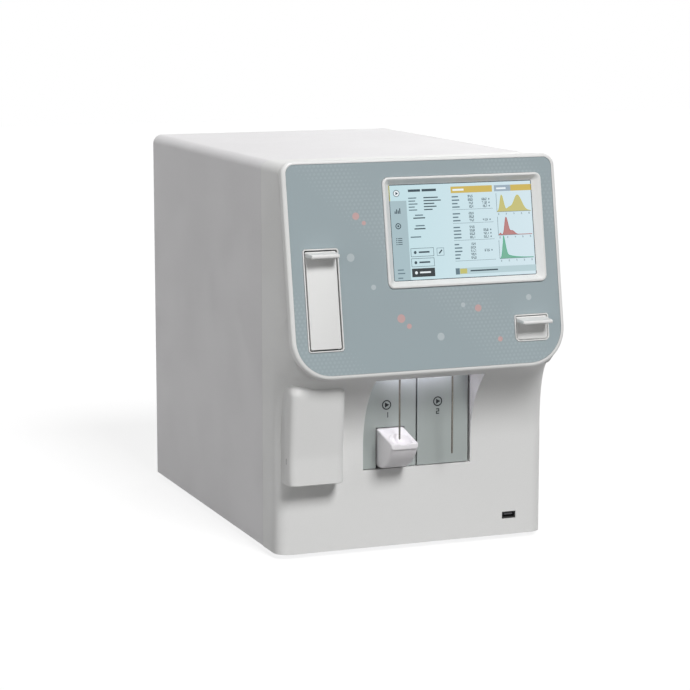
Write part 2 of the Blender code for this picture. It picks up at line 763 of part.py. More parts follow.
def face_openings():
    """The three openings through the face, each a gap wider than the trim in it."""
    display = rounded(BEZEL_LEFT - GAP, BEZEL_RIGHT + GAP, DISPLAY_BASE - GAP,
                      DISPLAY_BASE + DISPLAY_HEIGHT + GAP, BEZEL_RADIUS, BEZEL_RADIUS)
    door = rounded(DOOR_LEFT - GAP, DOOR_RIGHT + GAP, DOOR_BASE - GAP,
                   DOOR_BASE + DOOR_HEIGHT + GAP, DOOR_RADIUS, DOOR_RADIUS)
    drawer = rounded(DRAWER_LEFT - GAP, DRAWER_RIGHT + GAP, DRAWER_BASE - GAP,
                     DRAWER_BASE + DRAWER_HEIGHT + GAP, DRAWER_LOW_RADIUS, DRAWER_TOP_RADIUS)
    return [("display", display), ("door", door), ("drawer", drawer)]


def make_fascia_overlay():
    """The printed membrane that lies in the fascia's recess."""
    edge = RIM_WIDTH + GAP
    outer = rounded(-HALF + edge, HALF - edge, edge, FASCIA_HEIGHT - edge,
                    FASCIA_LOW_RADIUS - edge, FASCIA_TOP_RADIUS - edge)
    holes = [outline[::-1] for name, outline in face_openings()]
    back = OVERLAY_RECESS - GAP
    return plate("fascia_overlay", [outer] + holes, back - OVERLAY_THICKNESS, back, BLUE_GREY, HEAD)


def make_display():
    """The screen stack: white bezel, touch glass, display module and its board."""
    left, right = BEZEL_LEFT, BEZEL_RIGHT
    low, high = DISPLAY_BASE, DISPLAY_BASE + DISPLAY_HEIGHT

    def ring(side, rise, radius, depth):
        """The bezel's outline drawn in by a width at the sides and at top and bottom."""
        return at_depth(rounded(left + side, right - side, low + rise, high - rise,
                                radius, radius), depth)
    edge = BEZEL_PROUD / 2
    rings = [ring(0, 0, BEZEL_RADIUS, SCREEN_DEPTH + GLASS_THICKNESS),
             ring(0, 0, BEZEL_RADIUS, -BEZEL_PROUD + edge),
             ring(edge, edge, BEZEL_RADIUS - edge, -BEZEL_PROUD),
             ring(BEZEL_LAND, BEZEL_LAND, BEZEL_RADIUS - BEZEL_LAND, -BEZEL_PROUD),
             ring(BEZEL_SIDE, BEZEL_RISE, SCREEN_RADIUS, SCREEN_DEPTH - GAP),
             ring(BEZEL_SIDE - GLASS_EDGE - GAP, BEZEL_RISE - GLASS_EDGE - GAP, SCREEN_RADIUS,
                  SCREEN_DEPTH - GAP),
             ring(BEZEL_SIDE - GLASS_EDGE - GAP, BEZEL_RISE - GLASS_EDGE - GAP, SCREEN_RADIUS,
                  SCREEN_DEPTH + GLASS_THICKNESS)]
    loft("display_bezel", rings, WHITE, HEAD, looped=True)
    side, rise = BEZEL_SIDE - GLASS_EDGE, BEZEL_RISE - GLASS_EDGE
    plate("display_glass", [rounded(left + side, right - side, low + rise, high - rise,
                                    SCREEN_RADIUS, SCREEN_RADIUS, LEAF_STEPS)],
          SCREEN_DEPTH, SCREEN_DEPTH + GLASS_THICKNESS, SCREEN, HEAD)
    front = SCREEN_DEPTH + GLASS_THICKNESS + GAP
    module = box("display_module", (left + MODULE_INSET, front, low + MODULE_INSET),
                 (right - MODULE_INSET, front + MODULE_DEPTH, high - MODULE_INSET), ZINC, HEAD)
    board = front + MODULE_DEPTH + GAP
    box("display_board", (left + BOARD_INSET, board, low + BOARD_INSET),
        (right - BOARD_INSET, board + BOARD_THICKNESS, high - BOARD_INSET), GREEN, HEAD)
    return module


def make_trim(name, left, right, low, high, low_radius, top_radius, depth):
    """A thin trim round an opening, with a sleeve behind it that guides what moves in it."""
    def ring(inset, place):
        """The trim's outline drawn in by an inset."""
        return at_depth(rounded(left + inset, right - inset, low + inset, high - inset,
                                low_radius - inset, top_radius - inset), place)
    rings = [ring(0.0, depth), ring(0.0, -TRIM_PROUD), ring(TRIM_WIDTH, -TRIM_PROUD),
             ring(TRIM_WIDTH, depth)]
    return loft(name, rings, WHITE, HEAD, looped=True)


def make_lip(name, left, right, top, sizes):
    """A finger lip: a tapered blade that droops outwards from a leaf, with a rounded nose."""
    height, root, drop, reach, taper = sizes
    middle = (left + right) / 2
    half = (right - left) / 2
    stations = ((LEAF_THICKNESS / 2, 0.0, 0.0, root), (-reach + LIP_ROUND, taper, drop, height),
                (-reach, taper + LIP_ROUND, drop + LIP_ROUND, height - LIP_ROUND))
    rings = []
    for depth, draw, upper, lower in stations:
        rings.append(at_depth(rectangle(middle - half + draw, middle + half - draw, top - lower,
                                        top - upper), depth))
    return loft(name, rings, None, HEAD)


def make_tube_door():
    """The tall door: trim, leaf with lip and knuckle, hinge pin, and the tube holder on its back."""
    top = DOOR_BASE + DOOR_HEIGHT
    frame = make_trim("door_frame", DOOR_LEFT, DOOR_RIGHT, DOOR_BASE, top, DOOR_RADIUS,
                      DOOR_RADIUS, TRIM_DEPTH)
    hinge = DOOR_BASE + HINGE_RISE
    hole = HINGE_RADIUS + HINGE_CLEARANCE
    cut(frame, rod("hinge_cut", (DOOR_LEFT - OVERRUN, HINGE_DEPTH, hinge),
                   (DOOR_RIGHT + OVERRUN, HINGE_DEPTH, hinge), hole, parent=HEAD))
    rod("door_hinge_pin", (DOOR_LEFT + GAP, HINGE_DEPTH, hinge),
        (DOOR_RIGHT - GAP, HINGE_DEPTH, hinge), HINGE_RADIUS, STEEL, HEAD)
    pivot = anchor("door_pivot", (0, HINGE_DEPTH, hinge), 0.0, HEAD)
    inset = TRIM_WIDTH + DOOR_GAP
    left, right = DOOR_LEFT + inset, DOOR_RIGHT - inset
    leaf = plate("tube_door", [rounded(left, right, DOOR_BASE + inset, top - inset,
                                       DOOR_RADIUS / 2, DOOR_RADIUS / 2, LEAF_STEPS)],
                 0.0, LEAF_THICKNESS, WHITE, HEAD)
    lip = make_lip("door_lip", left, right, top - inset - LIP_SET,
                   (DOOR_LIP_HEIGHT, DOOR_LIP_ROOT, DOOR_LIP_DROP, DOOR_LIP_REACH, DOOR_LIP_TAPER))
    knuckle = rod("knuckle", (left, HINGE_DEPTH, hinge), (right, HINGE_DEPTH, hinge),
                  KNUCKLE_RADIUS, parent=HEAD)
    bore = rod("knuckle_bore", (left - OVERRUN, HINGE_DEPTH, hinge),
               (right + OVERRUN, HINGE_DEPTH, hinge), hole, parent=HEAD)
    cut(join(leaf, lip, knuckle), bore)
    middle = (DOOR_LEFT + DOOR_RIGHT) / 2
    depth = LEAF_THICKNESS + HOLDER_STANDOFF + HOLDER_RADIUS
    low = hinge + KNUCKLE_RADIUS + HOLDER_LIFT
    high = low + HOLDER_HEIGHT
    holder = rod("tube_holder", (middle, depth, low), (middle, depth, high), HOLDER_RADIUS,
                 WHITE, HEAD, ROUND_SIDES)
    half = SADDLE_WIDTH / 2
    saddle = box("saddle", (middle - half, LEAF_THICKNESS + GAP, low),
                 (middle + half, depth, high - HOLDER_FLOOR), parent=HEAD)
    bore = rod("tube_bore", (middle, depth, low + HOLDER_FLOOR), (middle, depth, high + OVERRUN),
               HOLDER_BORE, parent=HEAD, sides=ROUND_SIDES)
    cut(join(holder, saddle), bore)
    for piece in (leaf, holder):
        hang_from(piece, pivot)


def hang_from(piece, carrier):
    """Move a piece to a carrier at its joint without moving its shape."""
    offset = Matrix.Translation(carrier.location)
    piece.data.transform(offset.inverted())
    piece.parent = carrier


def make_pipette_drawer():
    """The small drawer: trim with a long sleeve, and the drawer with leaf, lip, tray and pocket."""
    top = DRAWER_BASE + DRAWER_HEIGHT
    make_trim("drawer_frame", DRAWER_LEFT, DRAWER_RIGHT, DRAWER_BASE, top, DRAWER_LOW_RADIUS,
              DRAWER_TOP_RADIUS, DRAWER_SLEEVE)
    inset = TRIM_WIDTH + DRAWER_GAP
    left, right = DRAWER_LEFT + inset, DRAWER_RIGHT - inset
    leaf = plate("pipette_drawer", [rounded(left, right, DRAWER_BASE + inset, top - inset,
                                            DRAWER_LOW_RADIUS - inset, DRAWER_TOP_RADIUS - inset)],
                 0.0, LEAF_THICKNESS, WHITE, HEAD)
    lip = make_lip("drawer_lip", left, right, top - inset - LIP_SET,
                   (DRAWER_LIP_HEIGHT, DRAWER_LIP_ROOT, DRAWER_LIP_DROP, DRAWER_LIP_REACH,
                    DRAWER_LIP_TAPER))
    slide = TRIM_WIDTH + GAP
    tray = plate("tray", [rounded(DRAWER_LEFT + slide, DRAWER_RIGHT - slide, DRAWER_BASE + slide,
                                  top - TRAY_DROP, DRAWER_LOW_RADIUS - slide,
                                  DRAWER_TOP_RADIUS / 2, LEAF_STEPS)],
                 LEAF_THICKNESS / 2, LEAF_THICKNESS + TRAY_LENGTH, parent=HEAD)
    middle = (left + right) / 2
    front = LEAF_THICKNESS + POCKET_SET
    pocket = box("pocket", (middle - POCKET_WIDTH / 2, front, DRAWER_BASE + POCKET_FLOOR + slide),
                 (middle + POCKET_WIDTH / 2, front + POCKET_LENGTH, top), parent=HEAD)
    return cut(join(leaf, lip, tray), pocket)


def plate_pins(left, right):
    """Places of a start plate's two guide pins, near its upper corners, as (x, z)."""
    z = PLATE_HIGH_Z - PIN_INSET
    return [(left + PIN_INSET, z), (right - PIN_INSET, z)]


def make_niche():
    """The niche's white walls, floor, ceiling and back, and the lamp under its ceiling."""
    heights = np.linspace(NICHE_BASE_Z, NICHE_TOP_Z, WALL_ROWS)
    edge = [(front_y(z, CASING_CLEAR), z) for z in heights]
    outline = [(NICHE_REAR_Y, NICHE_TOP_Z + NICHE_WALL), (NICHE_REAR_Y, NICHE_BASE_Z - NICHE_WALL),
               (CASING_CLEAR, NICHE_BASE_Z - NICHE_WALL)] + edge
    outline.append((edge[-1][0], NICHE_TOP_Z + NICHE_WALL))
    wall = NICHE_WALL
    niche = plate("niche_surround", [outline], NICHE_LEFT - wall, NICHE_LEFT, WHITE, None, SIDEWAYS)
    right = plate("right_wall", [outline], NICHE_RIGHT, NICHE_RIGHT + wall, None, None, SIDEWAYS)
    left_x, right_x = NICHE_LEFT - wall / 2, NICHE_RIGHT + wall / 2
    back = box("back", (left_x, NICHE_BACK_Y, NICHE_BASE_Z - wall),
               (right_x, NICHE_REAR_Y, NICHE_TOP_Z + wall))
    floor = box("floor", (left_x, CASING_CLEAR, NICHE_BASE_Z - wall),
                (right_x, NICHE_REAR_Y, NICHE_BASE_Z))
    ceiling = box("ceiling", (left_x, edge[-1][0], NICHE_TOP_Z),
                  (right_x, NICHE_REAR_Y, NICHE_TOP_Z + wall))
    join(niche, right, back, floor, ceiling)
    slot = CUP_SLOT
    tools = [box("cup_slot", (CUP_LEFT - slot, NICHE_BACK_Y - OVERRUN, NICHE_BASE_Z),
                 (CUP_RIGHT + slot, NICHE_REAR_Y + OVERRUN, CUP_TOP_Z + slot))]
    for x in (BLOOD_X, DILUTE_X):
        tools.append(rod("needle_hole", (x, NEEDLE_Y, NICHE_TOP_Z - OVERRUN),
                         (x, NEEDLE_Y, NICHE_TOP_Z + wall + OVERRUN),
                         NEEDLE_RADIUS + NEEDLE_BORE_CLEARANCE))
    for x, z in plate_pins(*LEFT_PLATE) + plate_pins(*RIGHT_PLATE):
        tools.append(rod("pin_hole", (x, NICHE_BACK_Y - OVERRUN, z),
                         (x, NICHE_REAR_Y + OVERRUN, z), PIN_RADIUS + PIN_CLEARANCE))
    cut(niche, *tools)
    top = NICHE_TOP_Z - GAP
    box("niche_lamp", (NICHE_CENTRE - LAMP_WIDTH / 2, LAMP_Y, top - LAMP_HEIGHT),
        (NICHE_CENTRE + LAMP_WIDTH / 2, LAMP_Y + LAMP_DEPTH, top), LAMP)


def make_start_plates():
    """The two blue-grey plates that start a sample, each on two pins, with a switch behind."""
    slot = CUP_SLOT
    left, right = LEFT_PLATE
    notched = [(right, PLATE_LOW_Z), (right, PLATE_HIGH_Z), (left, PLATE_HIGH_Z),
               (left, PLATE_LOW_Z), (CUP_LEFT - slot, PLATE_LOW_Z),
               (CUP_LEFT - slot, CUP_TOP_Z + slot), (CUP_RIGHT + slot, CUP_TOP_Z + slot),
               (CUP_RIGHT + slot, PLATE_LOW_Z)]
    plain = rectangle(*RIGHT_PLATE, PLATE_LOW_Z, PLATE_HIGH_Z)
    back = PLATE_Y + PLATE_THICKNESS
    plates = (("left", notched, LEFT_PLATE, left + SWITCH_SIZE),
              ("right", plain, RIGHT_PLATE, RIGHT_PLATE[1] - SWITCH_SIZE))
    for side, outline, ends, switch_x in plates:
        piece = plate(side + "_start_plate", [outline], PLATE_Y, back, BLUE_GREY)
        for x, z in plate_pins(*ends):
            join(piece, rod("pin", (x, back - PLATE_THICKNESS / 2, z), (x, back + PIN_LENGTH, z),
                            PIN_RADIUS))
        half = SWITCH_SIZE / 2
        middle = (PLATE_LOW_Z + PLATE_HIGH_Z) / 2
        box(side + "_plate_switch", (switch_x - half, back + PLATE_TRAVEL + GAP, middle - half),
            (switch_x + half, NICHE_BACK_Y - GAP, middle + half), BLACK)


def make_rinse_cup():
    """The white cup under the left needle: a beak with a dished top, on a rail behind."""
    edge = CUP_EDGE
    front = -CUP_REACH
    tip_top = CUP_TOP_Z - CUP_TIP_DROP
    tip_low = tip_top - CUP_LIP_HEIGHT
    stations = [(CUP_BACK_Y, CUP_BASE_Z, CUP_TOP_Z, 0.0), (PLATE_Y, CUP_BASE_Z, CUP_TOP_Z, 0.0)]
    full_swell = 1 - sqrt(1 - CUP_SWELL)
    for step in range(1, CUP_ROWS + 1):
        share = step / CUP_ROWS
        swell = (1 - sqrt(1 - CUP_SWELL * share ** 2)) / full_swell
        stations.append((PLATE_Y + (front + edge - PLATE_Y) * share,
                         CUP_BASE_Z + (tip_low - CUP_BASE_Z) * swell,
                         CUP_TOP_Z - CUP_TIP_DROP * share, 0.0))
    stations.append((front, tip_low + edge, tip_top - edge, edge))
    rings = []
    for y, low, high, draw in stations:
        rings.append(at_depth(rounded(CUP_LEFT + draw, CUP_RIGHT - draw, low, high, edge, edge,
                                      LEAF_STEPS), y))
    cup = loft("rinse_cup", rings, WHITE)
    bm = bmesh.new()
    bmesh.ops.create_uvsphere(bm, u_segments=ROUND_SIDES, v_segments=CORNER_STEPS * 2, radius=1)
    bmesh.ops.scale(bm, vec=(DISH_WIDTH, DISH_LENGTH, DISH_DEPTH), verts=bm.verts)
    share = (PLATE_Y - NEEDLE_Y) / (PLATE_Y - front)
    top = CUP_TOP_Z - CUP_TIP_DROP * share
    bmesh.ops.translate(bm, vec=(BLOOD_X, NEEDLE_Y - DISH_AHEAD, top), verts=bm.verts)
    cut(cup, finish_object("dish", to_mesh("dish", bm), None))
    inset = CUP_RAIL_INSET
    box("cup_rail", (CUP_LEFT + inset, NICHE_REAR_Y + GAP, CUP_BASE_Z - GAP - CUP_RAIL_HEIGHT),
        (CUP_RIGHT - inset, BULKHEAD_Y - GAP, CUP_BASE_Z - GAP), ZINC)


def make_needles():
    """Both needles on their carriages, with guide rods, lift cylinders and the frame behind."""
    wall = FRAME_WALL
    left, right = BLOOD_X - FRAME_SIDE, DILUTE_X + FRAME_SIDE
    frame = box("needle_frame", (left, FRAME_FACE_Y, FRAME_LOW_Z),
                (right, FRAME_BACK_Y, FRAME_TOP_Z), ZINC)
    for base in (FRAME_LOW_Z, FRAME_TOP_Z - wall):
        join(frame, box("flange", (left, FLANGE_FRONT_Y, base),
                        (right, FRAME_BACK_Y - wall / 2, base + wall)))
    for side, x, tip in (("blood", BLOOD_X, BLOOD_TIP_Z), ("dilute", DILUTE_X, DILUTE_TIP_Z)):
        cut(frame, rod("rod_hole", (x, ROD_Y, FRAME_LOW_Z - OVERRUN),
                       (x, ROD_Y, FRAME_TOP_Z + OVERRUN), ROD_RADIUS + ROD_CLEARANCE))
        lift_x = x + LIFTER_OFFSET
        cut(frame, rod("lift_hole", (lift_x, LIFTER_Y, FRAME_TOP_Z - wall - OVERRUN),
                       (lift_x, LIFTER_Y, FRAME_TOP_Z + OVERRUN), LIFTER_BORE))
        make_needle(side, x, tip)
        make_carriage(side, x, lift_x)
        rod(side + "_guide_rod", (x, ROD_Y, FRAME_LOW_Z + GAP), (x, ROD_Y, FRAME_TOP_Z - GAP),
            ROD_RADIUS, STEEL)
        base = FRAME_TOP_Z + GAP
        lifter = rod(side + "_lift_cylinder", (lift_x, LIFTER_Y, base),
                     (lift_x, LIFTER_Y, base + LIFTER_HEIGHT), LIFTER_RADIUS, STEEL)
        cut(lifter, rod("lift_bore", (lift_x, LIFTER_Y, base - OVERRUN),
                        (lift_x, LIFTER_Y, base + LIFTER_HEIGHT + OVERRUN), LIFTER_BORE))


def make_needle(side, x, tip):
    """A steel needle with a hub that rests under its carriage."""
    hub_top = CARRIAGE_Z - GAP
    needle = rod(side + "_needle", (x, NEEDLE_Y, tip), (x, NEEDLE_Y, NEEDLE_TOP_Z),
                 NEEDLE_RADIUS, STEEL)
    join(needle, rod("hub", (x, NEEDLE_Y, hub_top - HUB_HEIGHT), (x, NEEDLE_Y, hub_top),
                     HUB_RADIUS))


def make_carriage(side, x, lift_x):
    """The block that slides on the guide rod, with its lift rod on a side tab."""
    half = CARRIAGE_WIDTH / 2
    top = CARRIAGE_Z + CARRIAGE_HEIGHT
    carriage = box(side + "_carriage", (x - half, NEEDLE_Y - CARRIAGE_NOSE, CARRIAGE_Z),
                   (x + half, FRAME_FACE_Y - GAP, top), ZINC)
    tab = box("tab", (x, LIFTER_Y - TAB_EDGE, CARRIAGE_Z),
              (lift_x + TAB_EDGE, LIFTER_Y + TAB_EDGE, CARRIAGE_Z + LIFTER_TAB))
    lift = rod("lift_rod", (lift_x, LIFTER_Y, CARRIAGE_Z + LIFTER_TAB / 2),
               (lift_x, LIFTER_Y, FRAME_TOP_Z + LIFTER_ENGAGED), LIFTER_ROD)
    join(carriage, tab, lift)
    cut(carriage, rod("guide_bore", (x, ROD_Y, CARRIAGE_Z - OVERRUN), (x, ROD_Y, top + OVERRUN),
                      ROD_RADIUS + ROD_CLEARANCE),
        rod("needle_bore", (x, NEEDLE_Y, CARRIAGE_Z - OVERRUN), (x, NEEDLE_Y, top + OVERRUN),
            NEEDLE_RADIUS + GAP))


def make_mixer():
    """The tube mixer: its bulging cover, the rotor for four tubes and the drive under it."""
    def ring(z, inset, reach, draw):
        """Plan of the cover at a height: flat back, round front corners."""
        left, right = MIXER_LEFT + inset + draw, MIXER_RIGHT - inset - draw
        front = -reach + inset
        radius = MIXER_ROUND - inset
        path = [(right, MIXER_ROOT_Y + inset * 2, z)]
        for step in range(CORNER_STEPS + 1):
            turn = pi / 2 * step / CORNER_STEPS
            path.append((right - radius * (1 - cos(turn)), front + radius * (1 - sin(turn)), z))
        mirror = [(left + right - x, y, height) for x, y, height in path[::-1]]
        return path + mirror

    def body(inset):
        """Rings up the cover: the front leans out to the crown, which draws in at the top."""
        low, high = MIXER_BASE_Z + inset, MIXER_TOP_Z - inset
        rings = [ring(low, inset, MIXER_REACH, 0.0), ring(CURVE_START_Z, inset, MIXER_REACH, 0.0)]
        for step in range(CORNER_STEPS + 1):
            turn = pi / 2 * step / CORNER_STEPS
            rise = high - MIXER_CROWN + MIXER_CROWN * sin(turn)
            rings.append(ring(rise, inset, MIXER_TOP_REACH, MIXER_CROWN * (1 - cos(turn)) / 2))
        return rings
    cover = loft("mixer_cover", body(0.0), WHITE)
    cut(cover, loft("mixer_hollow", body(MIXER_WALL)),
        casing_solid("casing_form", -GAP, SEAM_Y))
    base, top = ROTOR_BASE_Z, ROTOR_BASE_Z + ROTOR_HEIGHT
    rotor = rod("mixer_rotor", (ROTOR_X, ROTOR_Y, base), (ROTOR_X, ROTOR_Y, top), ROTOR_RADIUS,
                DARK, None, ROUND_SIDES)
    join(rotor, rod("shaft", (ROTOR_X, ROTOR_Y, base - SHAFT_LENGTH),
                    (ROTOR_X, ROTOR_Y, base + OVERRUN), SHAFT_RADIUS))
    for quarter in range(4):
        turn = pi / 2 * quarter + pi / 4
        x = ROTOR_X + ROTOR_HOLE_PITCH * cos(turn)
        y = ROTOR_Y + ROTOR_HOLE_PITCH * sin(turn)
        cut(rotor, rod("tube_hole", (x, y, top - ROTOR_HOLE_DEPTH), (x, y, top + OVERRUN),
                       ROTOR_HOLE))
    hang_from(rotor, anchor("mixer_pivot", (ROTOR_X, ROTOR_Y, base), 0.0, BODY))
    high = base - GAP
    low = high - DRIVE_HEIGHT
    half = DRIVE_WIDTH / 2
    drive = box("mixer_drive", (ROTOR_X - half, CASING_CLEAR + GAP, low),
                (ROTOR_X + half, BULKHEAD_Y - GAP, high), ZINC)
    motor_y = BULKHEAD_Y - GAP - MOTOR_RADIUS
    join(drive, rod("motor", (ROTOR_X, motor_y, low - MOTOR_HEIGHT),
                    (ROTOR_X, motor_y, low + DRIVE_HEIGHT / 2), MOTOR_RADIUS, None, None,
                    ROUND_SIDES))
    cut(drive, rod("shaft_bore", (ROTOR_X, ROTOR_Y, base - SHAFT_LENGTH - GAP),
                   (ROTOR_X, ROTOR_Y, high + OVERRUN), SHAFT_RADIUS + PIN_CLEARANCE))


def make_front_port():
    """The black data port in the lower right of the front."""
    port = box("front_port", (PORT_LEFT, GAP, PORT_Z),
               (PORT_LEFT + PORT_WIDTH, PORT_DEPTH, PORT_Z + PORT_HEIGHT), BLACK)
    lip = PORT_MOUTH
    cut(port, box("mouth", (PORT_LEFT + lip, -OVERRUN, PORT_Z + lip),
                  (PORT_LEFT + PORT_WIDTH - lip, PORT_DEPTH - lip, PORT_Z + PORT_HEIGHT - lip)))


def inner_outline():
    """Outline of a sheet that fills the cover from the tray to the top, as (x, z)."""
    radius = COVER_FILLET - COVER_CLEAR
    return rounded(-INNER_HALF, INNER_HALF, FLOOR_Z, PANEL_TOP_Z, GAP, radius)


def make_inner_frame():
    """The sheet frame: base tray, front bulkhead, chassis plate and rear panel."""
    front_half = HALF - CASING_CLEAR
    radius = CORNER_RADIUS - CASING_CLEAR
    outline = []
    for step in range(CORNER_STEPS + 1):
        turn = pi / 2 * step / CORNER_STEPS
        outline.append((front_half - radius + radius * sin(turn),
                        CASING_CLEAR + radius * (1 - cos(turn))))
    outline += [(front_half, SEAM_Y + GAP), (INNER_HALF, SEAM_Y + GAP), (INNER_HALF, DEPTH)]
    outline += [(-x, y) for x, y in outline[::-1]]
    floor = BODY_Z + TRAY_WALL
    tray = loft("base_tray", [[(x, y, z) for x, y in outline] for z in (BODY_Z, floor)], ZINC)
    for side in (-1, 1):
        ends = sorted((side * (INNER_HALF - GAP), side * (INNER_HALF - GAP - PANEL_WALL)))
        join(tray, box("flange", (ends[0], BULKHEAD_REAR_Y + GAP, floor - TRAY_WALL / 2),
                       (ends[1], REAR_IN_Y - GAP, floor + FLANGE_HEIGHT)))
    cable = rectangle(INNER_HALF - CABLE_HOLE * 2, INNER_HALF - CABLE_HOLE, CABLE_HOLE_Z,
                      CABLE_HOLE_Z + CABLE_HOLE)
    plate("bulkhead", [inner_outline(), cable[::-1]], BULKHEAD_Y, BULKHEAD_REAR_Y, ZINC)
    depth = (BULKHEAD_REAR_Y + GAP, REAR_IN_Y - GAP)
    chassis = plate("chassis_plate", [[(depth[1], FLOOR_Z), (depth[1], FLOOR_Z + CHASSIS_HEIGHT),
                                       (depth[0], FLOOR_Z + CHASSIS_HEIGHT), (depth[0], FLOOR_Z)]],
                    CHASSIS_X, CHASSIS_X + TRAY_WALL, ZINC, None, SIDEWAYS)
    join(chassis, box("foot", (CHASSIS_X - CHASSIS_FOOT, depth[0], FLOOR_Z),
                      (CHASSIS_X + TRAY_WALL / 2, depth[1], FLOOR_Z + TRAY_WALL)))
    make_rear_panel()


def make_rear_panel():
    """The rear sheet with holes for the fan, inlet, fittings, sensor sockets and data ports."""
    holes = [circle(FAN_X, FAN_Z, FAN_BORE, ROUND_SIDES),
             rectangle(INLET_LEFT - GAP, INLET_RIGHT + GAP, INLET_LOW - GAP, INLET_HIGH + GAP)]
    holes += [circle(x, NIPPLE_Z, NIPPLE_RADIUS + GAP, FINE_SIDES) for x in NIPPLE_XS]
    holes += [circle(x, SOCKETS_Z, SENSOR_RADIUS + GAP, FINE_SIDES) for x in SENSOR_XS]
    half = PORTS_SIZE / 2 + GAP
    holes += [rectangle(x - half, x + half, SOCKETS_Z - half, SOCKETS_Z + half) for x in PORTS_XS]
    plate("rear_panel", [inner_outline()] + [hole[::-1] for hole in holes], REAR_IN_Y, DEPTH,
          COVER_WHITE)


def make_electronics():
    """The power supply on the tray and the main board on standoffs, right of the chassis plate."""
    face = CHASSIS_X + TRAY_WALL + GAP
    box("power_supply", (face, SUPPLY_Y, FLOOR_Z),
        (face + SUPPLY_WIDTH, SUPPLY_Y + SUPPLY_DEPTH, FLOOR_Z + SUPPLY_HEIGHT), ZINC)
    low_y, high_y = MAIN_BOARD_Y, MAIN_BOARD_Y + MAIN_BOARD_LENGTH
    low_z, high_z = MAIN_BOARD_Z, MAIN_BOARD_Z + MAIN_BOARD_HEIGHT
    board_x = face + STANDOFF_HEIGHT
    board = box("main_board", (board_x, low_y, low_z), (board_x + BOARD_THICKNESS, high_y, high_z),
                GREEN)
    edge = STANDOFF_RADIUS * 2
    for y in (low_y + edge, high_y - edge):
        for z in (low_z + edge, high_z - edge):
            join(board, rod("standoff", (face, y, z), (board_x + BOARD_THICKNESS / 2, y, z),
                            STANDOFF_RADIUS))


def make_fluidics():
    """The wet side, left of the chassis plate: cells, sample valve, dispenser and pump."""
    face = CHASSIS_X - GAP
    x = face - CELL_RADIUS
    for number, y in enumerate(CELL_YS, 1):
        cell = rod("measuring_cell_%d" % number, (x, y, CELL_Z), (x, y, CELL_Z + CELL_HEIGHT),
                   CELL_RADIUS, CLEAR, None, ROUND_SIDES)
        cut(cell, rod("cell_bore", (x, y, CELL_Z + CELL_FLOOR),
                      (x, y, CELL_Z + CELL_HEIGHT + OVERRUN), CELL_BORE, None, None, ROUND_SIDES))
    inner = face - VALVE_DEPTH
    valve = rod("sample_valve", (face, VALVE_Y, VALVE_Z), (inner, VALVE_Y, VALVE_Z), VALVE_RADIUS,
                STEEL, None, ROUND_SIDES)
    disc_x = inner - GAP
    join(valve, rod("spindle", (face - VALVE_DEPTH / 2, VALVE_Y, VALVE_Z),
                    (disc_x - DISC_DEPTH, VALVE_Y, VALVE_Z), SPINDLE_RADIUS))
    disc = rod("valve_disc", (disc_x, VALVE_Y, VALVE_Z), (disc_x - DISC_DEPTH, VALVE_Y, VALVE_Z),
               VALVE_RADIUS, CLEAR, None, ROUND_SIDES)
    middle = disc_x - DISC_DEPTH / 2
    ear = box("ear", (middle - DISC_EAR / 2, VALVE_Y - DISC_EAR / 2, VALVE_Z + VALVE_RADIUS / 2),
              (middle + DISC_EAR / 2, VALVE_Y + DISC_EAR / 2, VALVE_Z + VALVE_RADIUS + DISC_EAR))
    cut(join(disc, ear), rod("disc_bore", (disc_x + OVERRUN, VALVE_Y, VALVE_Z),
                             (disc_x - DISC_DEPTH - OVERRUN, VALVE_Y, VALVE_Z),
                             SPINDLE_RADIUS + GAP))
    hang_from(disc, anchor("valve_pivot", (0, VALVE_Y, VALVE_Z), 0.0, BODY))
    make_dispenser(face)
    base = FLOOR_Z + PUMP_BASE
    axis_z = base + PUMP_RADIUS
    pump = rod("vacuum_pump", (PUMP_X, PUMP_Y, axis_z), (PUMP_X, PUMP_Y + PUMP_LENGTH, axis_z),
               PUMP_RADIUS, DARK, None, ROUND_SIDES)
    join(pump, box("pump_head", (PUMP_X - PUMP_RADIUS, PUMP_Y - PUMP_HEAD, FLOOR_Z),
                   (PUMP_X + PUMP_RADIUS, PUMP_Y + PUMP_HEAD / 2, axis_z + PUMP_RADIUS)),
         box("pump_foot", (PUMP_X - PUMP_HEAD, PUMP_Y, FLOOR_Z),
             (PUMP_X + PUMP_HEAD, PUMP_Y + PUMP_LENGTH - PUMP_BASE, base + PUMP_BASE)))


def make_dispenser(face):
    """The reagent dispenser: a block with a blind barrel, and the plunger that fills it."""
    x = face - DISPENSER_WIDTH / 2
    half = DISPENSER_WIDTH / 2
    low = DISPENSER_Z
    block = box("dispenser", (x - half, DISPENSER_Y - half, low),
                (face, DISPENSER_Y + half, low + DISPENSER_HEIGHT), CLEAR)
    cut(block, rod("barrel", (x, DISPENSER_Y, low - OVERRUN), (x, DISPENSER_Y, low + BARREL_DEPTH),
                   BARREL_RADIUS, None, None, ROUND_SIDES))
    plunger = rod("dispenser_plunger", (x, DISPENSER_Y, low - PLUNGER_GRIP),
                  (x, DISPENSER_Y, low + PLUNGER_HEIGHT), BARREL_RADIUS - PLUNGER_CLEARANCE,
                  STEEL, None, ROUND_SIDES)
    join(plunger, rod("plunger_foot", (x, DISPENSER_Y, low - PLUNGER_GRIP - PLUNGER_FOOT / 2),
                      (x, DISPENSER_Y, low - PLUNGER_GRIP + PLUNGER_FOOT / 2),
                      PLUNGER_FOOT_RADIUS))


